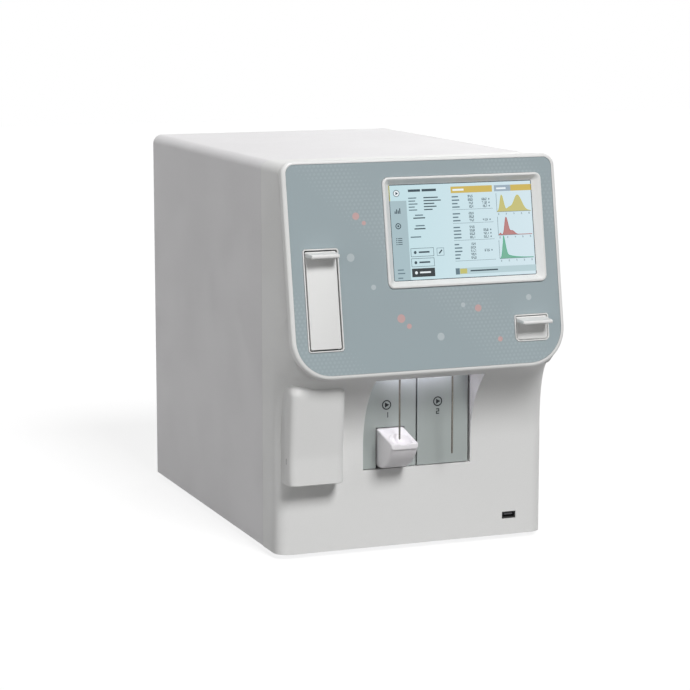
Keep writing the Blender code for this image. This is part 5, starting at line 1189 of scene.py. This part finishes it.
def make_niche():
    """Side walls cut to the casing's curve, with floor, ceiling and back between them."""
    heights = np.linspace(NICHE_BASE_Z, NICHE_TOP_Z, 30)
    front = FRONT_Y + front_line(heights, CASING_CLEAR)
    rear = FRONT_Y + NICHE_REAR_Y
    edge = [(rear, NICHE_TOP_Z + NICHE_WALL), (rear, NICHE_BASE_Z - NICHE_WALL),
            (front[0], NICHE_BASE_Z - NICHE_WALL)] + list(zip(front, heights))
    edge.append((front[-1], NICHE_TOP_Z + NICHE_WALL))
    left, right, low, high = NICHE_LEFT, NICHE_RIGHT, NICHE_BASE_Z, NICHE_TOP_Z
    wall = NICHE_WALL
    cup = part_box("rinse_cup")
    opening = (cup[0].x - 0.001, cup[1].x + 0.001, low, cup[1].z + 0.001, 0, 0)
    turn = np.linspace(2 * pi, 0, 24, endpoint=False)
    bores = [np.stack([x + 0.0019 * np.cos(turn), PIN_Z + 0.0019 * np.sin(turn)], axis=-1)
             for pair in PINS for x in pair]
    back = slab([outline((left - wall / 2, right + wall / 2, low - wall, high + wall, 0, 0),
                         steps=1), outline(opening, steps=1)[::-1]] + bores, rear - wall, rear)
    walls = together(sideways([edge], left - wall, left), sideways([edge], right, right + wall),
                     back, block((left, front[0], low - wall), (right, rear - wall / 2, low)),
                     block((left, front[-1], high), (right, rear - wall / 2, high + wall)))
    piece("niche_liner", walls, MOULDING, nodes=["niche_surround"])
    for name, x in (("blood_bush", BLOOD_X), ("dilute_bush", DILUTE_X)):
        piece(name, turned([(0.0012, 0.0001), (0.0030, 0.0001), (0.0030, -0.0012),
                            (0.0024, -0.0016), (0.0012, -0.0016)], (x, NEEDLE_Y, high)), TRIM)


def lamp_finish():
    """A frosted strip: white with an even cool glow and the shadow of small light cells."""
    made, tree, shader, places = start_material("frosted_lamp", 0.5)
    cells = node(tree, "TexWave", {"Vector": places, "Scale": 30.0, "Distortion": 0.2},
                 wave_type="BANDS", bands_direction="X")
    even = maths(tree, "MULTIPLY_ADD", cells.outputs["Fac"], 0.3 * LAMP_GLOW, 0.8 * LAMP_GLOW)
    tree.links.new(even, shader.inputs["Emission Strength"])
    shader.inputs["Emission Color"].default_value = (0.93, 0.86, 1.0, 1)
    dress(tree, shader, places, (0.9, 0.9, 1.0), 0.4, 0.0004, 0.1, 0.1, 0.0)
    return made, "lamp"


make_niche()
lamp_low, lamp_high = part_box("niche_lamp")
piece("lamp_strip", block(lamp_low, lamp_high), lamp_finish(), nodes=["niche_lamp"], edge=0.0004)

# %% [markdown]
# Two satin plates hang side by side in front of the niche's back. Pressing one starts a
# measurement with the needle beside it. Each rides on two pins and is printed with a round
# start symbol and the number of its mode. They would be stamped, brushed upwards and lacquered.

# %% Start plates
PLATE_Y = FRONT_Y + 0.002
PLATE_THICKNESS = 0.003
RING_RADIUS = 0.0050
RING_LINE = 0.0012
SHADOW_GAP = 0.0002
PLATE_PIN_RADIUS, PLATE_PIN_CORE, PLATE_PIN_LENGTH = 0.0015, 0.0002, 0.0082
PLATE_PIN_CHAMFER = (0.0003, 0.0004)
PRINT_FRONT, PRINT_BACK = 0.00006, 0.00001
ARROW_BACK, ARROW_TIP, ARROW_HALF = 0.0018, 0.0030, 0.0027
DIGIT_HIGH, DIGIT_WIDE, DIGIT_LINE, DIGIT_DROP = 0.0046, 0.0026, 0.0009, 0.0125
LEFT_MARK_X, RIGHT_MARK_X, MARK_Z = -0.0290, 0.0268, 0.1497


def flat_ring(centre, outer, inner, front, back):
    """A thin flat ring."""
    turn = np.linspace(0, 2 * pi, 48, endpoint=False)
    ring = np.stack([np.cos(turn), np.sin(turn)], axis=-1)
    return slab([centre + ring * outer, centre + ring[::-1] * inner], front, back)


def make_plate(name, shape, pins, body, mark, digit):
    """A plate with its two pins, and its printed symbol a hair in front."""
    parts = [slab([shape], PLATE_Y, PLATE_Y + PLATE_THICKNESS)]
    for x in pins:
        side, end = PLATE_PIN_CHAMFER
        rim = [(PLATE_PIN_CORE, 0), (PLATE_PIN_RADIUS, 0),
               (PLATE_PIN_RADIUS, PLATE_PIN_LENGTH - end),
               (PLATE_PIN_RADIUS - side, PLATE_PIN_LENGTH), (PLATE_PIN_CORE, PLATE_PIN_LENGTH)]
        parts.append(turned(rim, (x, PLATE_Y + PLATE_THICKNESS / 2, PIN_Z), "Y", 20))
    piece(name + "_sheet", together(*parts), PLATE, body, [name], edge=0.0003)
    front = (PLATE_Y - PRINT_FRONT, PLATE_Y - PRINT_BACK)
    centre = np.array(mark)
    arrow = centre + np.array([(-ARROW_BACK, -ARROW_HALF), (ARROW_TIP, 0),
                               (-ARROW_BACK, ARROW_HALF)])
    shapes = [flat_ring(centre, RING_RADIUS, RING_RADIUS - RING_LINE, *front),
              slab([arrow], *front)]
    high, wide, line = DIGIT_HIGH, DIGIT_WIDE, DIGIT_LINE
    for stroke in STROKES[digit]:
        x0, y0, x1, y1 = STROKE_ENDS[stroke]
        left, right = (mark[0] + (share - 0.5) * wide for share in (x0, x1))
        low, top = (mark[1] - DIGIT_DROP + (1 - share / 2) * high for share in (y1, y0))
        shapes.append(slab([outline((left - line / 2, right + line / 2, low - line / 2,
                                     top + line / 2, 0, 0), steps=1)], *front))
    piece(name + "_mark", together(*shapes), MARK, body)


def make_plates():
    """The left plate has a notch for the rinse cup, and the right one is plain."""
    cup_low, cup_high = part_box("rinse_cup")
    left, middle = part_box("left_start_plate")[0].x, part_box("left_start_plate")[1].x - SHADOW_GAP
    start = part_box("right_start_plate")[0].x + SHADOW_GAP
    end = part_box("right_start_plate")[1].x - 2 * SHADOW_GAP
    slot_left, slot_right, slot_top = cup_low.x - 0.001, cup_high.x + 0.001, cup_high.z + 0.001
    notched = [(middle, PLATE_LOW), (middle, PLATE_HIGH), (left, PLATE_HIGH), (left, PLATE_LOW),
               (slot_left, PLATE_LOW), (slot_left, slot_top), (slot_right, slot_top),
               (slot_right, PLATE_LOW)]
    plain = [(end, PLATE_LOW), (end, PLATE_HIGH), (start, PLATE_HIGH), (start, PLATE_LOW)]
    make_plate("left_start_plate", notched, PINS[0], "left_plate",
               (LEFT_MARK_X, MARK_Z), "1")
    make_plate("right_start_plate", plain, PINS[1], "right_plate",
               (RIGHT_MARK_X, MARK_Z), "2")


make_plates()

# %% [markdown]
# Two ground steel needles come down through bushes in the ceiling. The left one takes a tube
# and rests over the rinse cup, and the right one adds diluent. Their ends are closed and
# rounded, with the opening at the side.

# %% Needles
NEEDLE_RADIUS = 0.00095


def make_needle(name, body, x):
    """A thin rod with a round tip, and the hub that its carriage holds."""
    low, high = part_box(name)
    hub = 0.196 - GAP
    tip = [(NEEDLE_RADIUS * sin(a), low.z + NEEDLE_RADIUS * 1.6 * (1 - cos(a)))
           for a in np.linspace(0.15, pi / 2, 6)]
    profile = tip + [(NEEDLE_RADIUS, hub - 0.0060), (0.0026, hub - 0.0060),
                     (0.0028, hub - 0.0056), (0.0028, hub - 0.0003), (0.0025, hub),
                     (NEEDLE_RADIUS, hub), (NEEDLE_RADIUS, high.z - 0.0002),
                     (NEEDLE_RADIUS * 0.8, high.z)]
    piece(name + "_rod", turned(profile, (x, NEEDLE_Y, 0), sides=24), NEEDLE_STEEL, body, [name])


def needle_finish():
    """Drawn steel with fine rings, stains in patches and painted dark reflection in its colour."""
    made, tree, shader, places = start_material("needle_steel", 0.25, 1.0)
    rings = node(tree, "TexWave", {"Vector": places, "Scale": 900.0, "Distortion": 1.0},
                 wave_type="BANDS", bands_direction="Z").outputs["Fac"]
    stain = use_group(tree, SMUDGES, Vector=places, Size=0.01).outputs[0]
    # Painted reflection: both tints are far darker than bare steel, to stand in for the dark
    # surroundings that the needle mirrors.
    painted_reflection_tint = mixed(tree, stain, (0.20, 0.185, 0.165, 1), (0.14, 0.13, 0.115, 1))
    tree.links.new(painted_reflection_tint, shader.inputs["Base Color"])
    tree.links.new(maths(tree, "MULTIPLY_ADD", rings, 0.12, 0.22), shader.inputs["Roughness"])
    raised = node(tree, "Bump", {"Strength": 0.2, "Distance": 0.00003, "Height": rings})
    tree.links.new(raised.outputs["Normal"], shader.inputs["Normal"])
    return made, "steel"


NEEDLE_STEEL = needle_finish()
make_needle("blood_needle", "blood_lift", BLOOD_X)
make_needle("dilute_needle", "dilute_lift", DILUTE_X)

# %% [markdown]
# The rinse cup is a white beak. Its flat top slopes down to the tip and is dished where the
# needle drips, and its underside swoops back to the niche's floor. It is moulded solid and
# slides back on a rail to let a tube in.

# %% Rinse cup
CUP_REACH = 0.037
CUP_TIP_DROP = 0.0085
CUP_LIP_HEIGHT = 0.0065
CUP_EDGE = 0.0015
CUP_ROUND = 0.004
CUP_SWELL = 0.85
DISH = (0.0110, 0.0150, 0.0065)


def cup_ring(y, low, high, draw):
    """A section of the beak: round corners, and a top edge that dips into the dish."""
    left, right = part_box("rinse_cup")[0].x + draw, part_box("rinse_cup")[1].x - draw
    low_round = min(CUP_ROUND, (high - low) * 0.45)
    corners = outline((left, right, low, high, low_round, CUP_EDGE), steps=6)
    top = np.stack([np.linspace(right - CUP_EDGE, left + CUP_EDGE, 42)[1:-1],
                    np.full(40, high)], axis=-1)
    ring = np.concatenate([corners[:14], top, corners[14:]])
    middle = NEEDLE_Y - 0.006
    rim = CUP_TOP - CUP_TIP_DROP * ((PLATE_Y - NEEDLE_Y) / (PLATE_Y - CUP_FRONT))
    inside = 1 - ((ring[:, 0] - BLOOD_X) / DISH[0]) ** 2 - ((y - middle) / DISH[1]) ** 2
    floor = rim - DISH[2] * np.sqrt(np.maximum(0, inside))
    dips = (inside > 0) & (ring[:, 1] > high - 0.0003)
    ring[:, 1] = np.where(dips, np.minimum(ring[:, 1], floor), ring[:, 1])
    return stood(ring, y)


def make_cup():
    """Sections from the rail out to the tip."""
    low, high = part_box("rinse_cup")
    tip_low = CUP_TOP - CUP_TIP_DROP - CUP_LIP_HEIGHT
    rows = [cup_ring(FRONT_Y + 0.015, low.z, CUP_TOP, 0), cup_ring(PLATE_Y, low.z, CUP_TOP, 0)]
    full = 1 - sqrt(1 - CUP_SWELL)
    for share in np.linspace(0, 1, 49)[1:]:
        swell = (1 - sqrt(1 - CUP_SWELL * share ** 2)) / full
        rows.append(cup_ring(PLATE_Y + (CUP_FRONT + CUP_EDGE - PLATE_Y) * share,
                             low.z + (tip_low - low.z) * swell, CUP_TOP - CUP_TIP_DROP * share, 0))
    for turn in np.linspace(0, pi / 2, 7)[1:]:
        draw = CUP_EDGE * (1 - cos(turn))
        rows.append(cup_ring(CUP_FRONT + CUP_EDGE * (1 - sin(turn)), tip_low + draw,
                             CUP_TOP - CUP_TIP_DROP - draw, draw))
    piece("cup_beak", grid(rows, wrap_across=True, capped=True), CUP, "cup", ["rinse_cup"])


CUP_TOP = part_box("rinse_cup")[1].z
CUP_FRONT = FRONT_Y - CUP_REACH
CUP = plain_finish("cup_white", "moulding", (0.88, 0.86, 0.88), 0.38, pitch=0.0003, bump=0.12)
make_cup()

# %% [markdown]
# The mixer turns behind a tall bulge at the lower left. Its front leans out towards the top,
# its crown is rounded over. It is a separate white moulding that hooks into the casing.

# %% Mixer cover
MIXER_LEFT, MIXER_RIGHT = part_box("mixer_cover")[0].x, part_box("mixer_cover")[1].x
MIXER_LOW, MIXER_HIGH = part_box("mixer_cover")[0].z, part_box("mixer_cover")[1].z
MIXER_ROUND = 0.008
MIXER_CROWN = 0.010
MIXER_REACH = (0.0235, 0.0295)


def mixer_ring(z, reach, draw):
    """Plan of the bulge at a height: flat front between round corners, open at the back."""
    left, right = MIXER_LEFT + draw, MIXER_RIGHT - draw
    turn = np.linspace(0, pi / 2, 11)
    x = np.concatenate([[right], right - MIXER_ROUND * (1 - np.cos(turn))])
    y = np.concatenate([[0.012], -reach + MIXER_ROUND * (1 - np.sin(turn))])
    x, y = np.concatenate([x, (left + right - x)[::-1]]), np.concatenate([y, y[::-1]])
    return np.stack([x, FRONT_Y + y, np.full(len(x), z)], axis=-1)


def make_mixer_cover():
    """Rings up the bulge, from the underside to the rounded crown."""
    least, most = MIXER_REACH
    rows = [mixer_ring(MIXER_LOW, least - 0.0006, 0), mixer_ring(MIXER_LOW + 0.0006, least, 0)]
    lean_top = MIXER_HIGH - MIXER_CROWN
    for z in np.linspace(MIXER_LOW + 0.006, lean_top, 24):
        share = np.clip((z - CURVE_START_Z) / (lean_top - CURVE_START_Z), 0, 1)
        rows.append(mixer_ring(z, least + (most - least) * share, 0))
    for turn in np.linspace(0, pi / 2, 12)[1:]:
        sink = MIXER_CROWN * (1 - cos(turn))
        rows.append(mixer_ring(lean_top + MIXER_CROWN * sin(turn), most - sink * 0.6, sink / 2))
    points, faces = grid(rows)
    width = len(rows[0])
    faces += [list(range(width)), list(range(len(points) - width, len(points)))]
    piece("mixer_bulge", (points, faces), MOULDING, nodes=["mixer_cover"], wall=0.0025)
    low, high = (MIXER_LEFT - 0.00005, FRONT_Y - 0.0120, 0.1000), (MIXER_LEFT + 0.0004,
                                                                     FRONT_Y - 0.0112, 0.1062)
    piece("mixer_latch_slot", block(low, high), BLACK)


make_mixer_cover()

# %% [markdown]
# A black data port sits low on the right of the front. Its shell is folded sheet in a black
# frame, with the contact tongue inside.

# %% Front data port
def make_front_port():
    """A shell with a deep mouth, and a dark tongue in its upper half."""
    hole = (PORT_LOW.x, PORT_HIGH.x, PORT_LOW.z, PORT_HIGH.z, 0.0006, 0.0006)
    front, back = PORT_LOW.y, PORT_HIGH.y
    profile = [(0, back), (0, front + 0.0002), (0.0002, front), (0.0008, front),
               (0.001, front + 0.0002), (0.001, back - 0.001)]
    piece("port_shell", framed(hole, profile, False), BLACK, nodes=["front_port"])
    piece("port_tongue", block((hole[0] + 0.0026, front + 0.0016, hole[2] + 0.0034),
                               (hole[1] - 0.0026, back - 0.0015, hole[3] - 0.0016)), DARK,
          edge=0.0002)


make_front_port()

# %% [markdown]
# The rear carries the services: a fan behind its wire guard, the power inlet with its switch,
# four reagent nipples, two sensor sockets and three data ports. The panel is powder-coated sheet
# held by screws, so it is separate from the wrap and comes off for service.

# %% Rear panel and fan
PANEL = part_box("rear_panel")
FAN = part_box("fan_guard")
FAN_X, FAN_Z = (FAN[0].x + FAN[1].x) / 2, (FAN[0].z + FAN[1].z) / 2


def torus(radius, wire, centre):
    """A wire ring about the y axis."""
    profile = [(radius + wire * cos(a), wire * sin(a))
               for a in np.linspace(2 * pi, 0, 12, endpoint=False)]
    turn = np.linspace(0, 2 * pi, 72, endpoint=False)
    rows = [[(centre[0] + r * cos(t), centre[1] + d, centre[2] + r * sin(t)) for r, d in profile]
            for t in turn]
    return grid(rows, wrap_across=True, wrap_along=True)


def make_rear():
    """The sheet with a real opening for the fan, and the screws that hold it and the fan guard."""
    low, high = PANEL
    sheet = outline((low.x, high.x, low.z, high.z, 0.004, 0.012), steps=8)
    turn = np.linspace(2 * pi, 0, 64, endpoint=False)
    airway = np.stack([FAN_X + 0.0365 * np.cos(turn), FAN_Z + 0.0365 * np.sin(turn)], axis=-1)
    piece("rear_sheet", slab([sheet, airway], low.y, high.y), COVER, nodes=["rear_panel"],
          edge=0.0002)
    screws = []
    for x in (low.x + 0.010, (low.x + high.x) / 2, high.x - 0.010):
        for z in (low.z + 0.009, high.z - 0.009):
            screws.append(turned([(0.0001, 0.0012), (0.0010, 0.0012), (0.0011, 0.0020),
                                  (0.0026, 0.0018), (0.0032, 0.0010), (0.0032, 0)],
                                 (x, high.y, z), "Y", 24))
    for x in (FAN[0].x + 0.005, FAN[1].x - 0.005):
        for z in (FAN[0].z + 0.005, FAN[1].z - 0.005):
            screws.append(turned([(0.0001, 0.0012), (0.0010, 0.0012), (0.0011, 0.0020),
                                  (0.0024, 0.0018), (0.0028, 0)], (x, FAN[1].y - 0.0004, z),
                                 "Y", 24))
    piece("rear_screws", together(*screws), STEEL)


def make_fan():
    """Wire rings on four spokes, and seven twisted blades on a hub behind them."""
    middle = (FAN_X, (FAN[0].y + FAN[1].y) / 2, FAN_Z)
    wires = [torus(radius, 0.0009, middle) for radius in (0.0128, 0.0207, 0.0286, 0.0365)]
    for turn in np.radians((45, 135, 225, 315)):
        spoke = turned([(0.0001, 0.006), (0.0009, 0.006), (0.0009, 0.0475), (0.0001, 0.0475)],
                       (0, 0, 0), "Z", 12)
        place = Matrix.Translation((middle[0], middle[1] - 0.0008, FAN_Z)) @ \
            Matrix.Rotation(turn, 4, "Y")
        wires.append(moved(spoke, place))
    piece("fan_wires", together(*wires), STEEL, nodes=["fan_guard"])
    low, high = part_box("fan_impeller")
    hub = turned([(0.0001, high.y), (0.0125, high.y), (0.014, high.y - 0.0015), (0.014, low.y),
                  (0.0001, low.y)][::-1], (FAN_X, 0, FAN_Z), "Y", 48)
    blades = [hub]
    for index in range(7):
        rows = []
        for share in np.linspace(0, 1, 9):
            radius = 0.0132 + 0.0205 * share
            twist, lag = radians(38 - 14 * share), 0.25 * share ** 2
            chord = 0.0085 + 0.005 * share
            ring = []
            for side, along in [(1, s) for s in np.linspace(-1, 1, 9)] + \
                               [(-1, s) for s in np.linspace(1, -1, 9)][1:-1]:
                swing = chord * along * cos(twist) / radius + lag
                depth = chord * along * sin(twist) * 0.55
                thick = side * 0.0006 * sqrt(max(0.0, 1 - along * along))
                angle = 2 * pi * index / 7 + swing
                ring.append((FAN_X + radius * cos(angle),
                             (low.y + high.y) / 2 + depth + thick, FAN_Z + radius * sin(angle)))
            rows.append(ring)
        blades.append(grid(rows, wrap_across=True, capped=True))
    piece("fan_rotor", together(*blades), DARK, "impeller", ["fan_impeller"])


make_rear()
make_fan()

# %% [markdown]
# The power inlet and its rocker share one black moulded flange. Plain marks on the rocker tell
# on from off. The fittings beside them are turned or moulded round parts.

# %% Inlet, rocker, fittings and ports
RED = plain_finish("cap_red", "dark", (0.55, 0.05, 0.05), 0.4, bump=0.15)
BLUE = plain_finish("cap_blue", "dark", (0.05, 0.16, 0.45), 0.4, bump=0.15)
YELLOW = plain_finish("cap_yellow", "dark", (0.62, 0.42, 0.04), 0.4, bump=0.15)


def make_inlet():
    """A flange with a deep socket, three pins and two screws, and a frame for the rocker."""
    low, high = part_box("power_inlet")
    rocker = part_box("power_switch")
    face = PANEL[1].y
    middle = (low.x + high.x) / 2
    opening = (middle - 0.0125, middle + 0.0125, low.z + 0.009, low.z + 0.026, 0.0005, 0.005)
    window = (rocker[0].x - 0.0004, rocker[1].x + 0.0004, rocker[0].z - 0.0002,
              rocker[1].z + 0.0002, 0.0005, 0.0005)
    flange = outline((low.x, high.x, low.z, high.z, 0.003, 0.003), steps=8)
    holes = [outline(opening, steps=8)[::-1], outline(window, steps=2)[::-1]]
    parts = [slab([flange] + holes, face + 0.0001, high.y)]
    for hole, depth in ((opening, 0.016), (window, 0.014)):
        inner = (hole[0] - 0.001, hole[1] + 0.001, hole[2] - 0.001, hole[3] + 0.001,
                 hole[4] + 0.001, hole[5] + 0.001)
        parts.append(slab([outline(inner, steps=8), outline(hole, steps=8)[::-1]],
                          high.y - depth, high.y - 0.0003))
        parts.append(slab([outline(inner, steps=8)], high.y - depth - 0.001, high.y - depth))
    piece("inlet_housing", together(*parts), BLACK, nodes=["power_inlet"], edge=0.0002)
    pins = []
    for x, z in ((middle, opening[3] - 0.005), (middle - 0.007, opening[2] + 0.005),
                 (middle + 0.007, opening[2] + 0.005)):
        pins.append(block((x - 0.001, high.y - 0.016, z - 0.002),
                          (x + 0.001, high.y - 0.004, z + 0.002)))
    for x in (low.x + 0.003, high.x - 0.003):
        pins.append(turned([(0.0001, -0.0001), (0.0006, 0.0004), (0.0016, 0.0006), (0.0018, 0)],
                           (x, high.y, opening[2] + 0.009), "Y", 20))
    piece("inlet_pins", together(*pins), STEEL)


def make_rocker():
    """A cap with two faces that meet at a shallow valley, printed with a bar and a ring."""
    low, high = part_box("power_switch")
    x0, x1 = low.x + 0.0003, high.x - 0.0003
    middle = (low.z + high.z) / 2
    tilt = Matrix.Translation((0, 0.233927, middle)) @ Matrix.Rotation(radians(8), 4, "X")
    half = 0.0094
    side = [(-0.0035, -half), (0.0030, -half), (0.0018, 0), (0.0030, half), (-0.0035, half)]
    body = sideways([np.array(side)[::-1]], x0, x1)
    piece("rocker_cap", moved(body, tilt), BLACK, "rocker", ["power_switch"], edge=0.0004)
    marks = [block(((x0 + x1) / 2 - 0.0003, 0.00245, -0.0068), ((x0 + x1) / 2 + 0.0003, 0.0026,
                                                             -0.0044))]
    ring = flat_ring(np.array([(x0 + x1) / 2, 0.0056]), 0.0013, 0.0008, 0.00245, 0.0026)
    piece("rocker_marks", moved(together(*marks, ring), tilt), TRIM, "rocker")


def make_fittings():
    """A backing plate, and barbed nipples in coloured collars."""
    face = PANEL[1].y + 0.0001
    centres = (-0.096, -0.072, -0.048, -0.024)
    z = (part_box("reagent_fittings")[0].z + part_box("reagent_fittings")[1].z) / 2
    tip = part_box("reagent_fittings")[1].y
    barbs = [(0.0018, tip - 0.003), (0.0018, tip), (0.0026, tip)]
    for step in range(3):
        y = tip - 0.0016 * (step + 1)
        barbs += [(0.0036, y), (0.0028, y - 0.0002)]
    barbs += [(0.0030, face + 0.0016)]
    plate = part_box("reagent_fittings")
    backing = outline((plate[0].x, plate[1].x, plate[0].z, plate[1].z, 0.003, 0.003), steps=6)
    piece("fitting_plate", slab([backing], face, face + 0.0012), TRIM,
          nodes=["reagent_fittings"], edge=0.0003)
    nipples = [turned(barbs[::-1], (x, 0, z), "Y", 32) for x in centres]
    piece("fitting_nipples", together(*nipples), TRIM)
    for x, look, name in zip(centres, (RED, BLUE, YELLOW, DARK), ("red", "blue", "yellow", "dark")):
        collar = turned([(0.0030, face + 0.0016), (0.0068, face + 0.0016), (0.0074, face + 0.001),
                         (0.0074, face + 0.0013), (0.0030, face + 0.0014)][:4], (x, 0, z), "Y", 40)
        piece("collar_" + name, collar, look)


def make_sockets():
    """Round sensor sockets with pins, and square data ports with black floors."""
    low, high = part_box("sensor_sockets")
    z = (low.z + high.z) / 2
    shells, pins = [], []
    face = PANEL[1].y + 0.0001
    for x in (-0.096, -0.066):
        shells.append(turned([(0.0055, high.y - 0.008), (0.0055, high.y), (0.0075, high.y),
                              (0.0085, high.y - 0.001), (0.0085, face)][::-1], (x, 0, z), "Y", 48))
        shells.append(turned([(0.0001, high.y - 0.007), (0.0056, high.y - 0.007)][::-1],
                             (x, 0, z), "Y", 48))
        for turn in np.radians((30, 90, 150, 210, 330)):
            pins.append(turned([(0.0001, high.y - 0.002), (0.0005, high.y - 0.0024),
                                (0.0005, high.y - 0.007)][::-1],
                               (x + 0.0034 * cos(turn), 0, z + 0.0034 * sin(turn)), "Y", 10))
    piece("socket_shells", together(*shells), STEEL, nodes=["sensor_sockets"])
    piece("socket_pins", together(*pins), STEEL)
    low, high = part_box("data_ports")
    frames, linings = [], []
    for x in (0.112, 0.090, 0.068):
        hole = (x - 0.006, x + 0.006, z - 0.005, z + 0.005, 0.0004, 0.0004)
        frames.append(framed(hole, [(-0.001, face), (-0.001, high.y), (0, high.y),
                                    (0.0003, high.y - 0.0003), (0.0003, high.y - 0.010)], False))
        linings.append(block((hole[0] - 0.0001, high.y - 0.0112, hole[2] - 0.0001),
                             (hole[1] + 0.0001, high.y - 0.0100, hole[3] + 0.0001)))
    piece("port_frames", together(*frames), DARK, nodes=["data_ports"])
    piece("port_floors", together(*linings), BLACK)


make_inlet()
make_rocker()
make_fittings()
make_sockets()

# %% [markdown]
# Four soft feet under the tray keep it from sliding.

# %% Feet
def make_feet():
    """A round pad that narrows downwards, with a rounded lower edge."""
    for index in range(1, 5):
        low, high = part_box("foot_%d" % index)
        x, y = (low.x + high.x) / 2, (low.y + high.y) / 2
        piece("pad_%d" % index, turned([(0.0001, 0), (0.0078, 0), (0.0084, 0.0006),
                                        (0.0098, high.z - 0.0004), (0.0094, high.z),
                                        (0.0001, high.z)], (x, y, 0), sides=40), RUBBER,
              nodes=["foot_%d" % index])


make_feet()

# %% [markdown]
# The pieces inside keep the shapes of the frame and get their own materials: zinc-plated sheet,
# bright rods, black housings, black glass on the clear chambers, and a green circuit board
# with its tracks.

# %% Materials for the inner pieces
def board_finish():
    """Green solder mask with a raised pattern of tracks and rows of bright dots."""
    made, tree, shader, places = start_material("circuit_board", 0.35)
    cells = node(tree, "TexVoronoi", {"Vector": places, "Scale": 130.0}, feature="F1",
                 distance="CHEBYCHEV")
    lines = maths(tree, "LESS_THAN", maths(tree, "PINGPONG", cells.outputs["Distance"], 0.22),
                  0.035)
    dots = use_group(tree, DOTS, Vector=places, Pitch=0.0035, Size=0.5).outputs[0]
    green = mixed(tree, lines, (0.012, 0.10, 0.045, 1), (0.03, 0.20, 0.08, 1))
    tree.links.new(mixed(tree, dots, green, (0.62, 0.60, 0.55, 1)), shader.inputs["Base Color"])
    tree.links.new(dots, shader.inputs["Metallic"])
    raised = node(tree, "Bump", {"Strength": 0.4, "Distance": 0.0001, "Height": lines})
    tree.links.new(raised.outputs["Normal"], shader.inputs["Normal"])
    return made


INNER = {"moulding": MOULDING, "cover_paint": COVER, "plate": PLATE, "black": BLACK,
         "dark": DARK, "foot": RUBBER, "steel": STEEL, "zinc": ZINC, "clear": GLASS}
BOARD = board_finish()
count = 0
for name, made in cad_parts.items():
    for spot in made.material_slots:
        kind = spot.material.name.split(".")[0] if spot.material else ""
        if kind == "board":
            spot.material, count = BOARD, count + 1
        elif kind in INNER:
            spot.material, count = INNER[kind][0], count + 1
print("better materials on", count, "places")
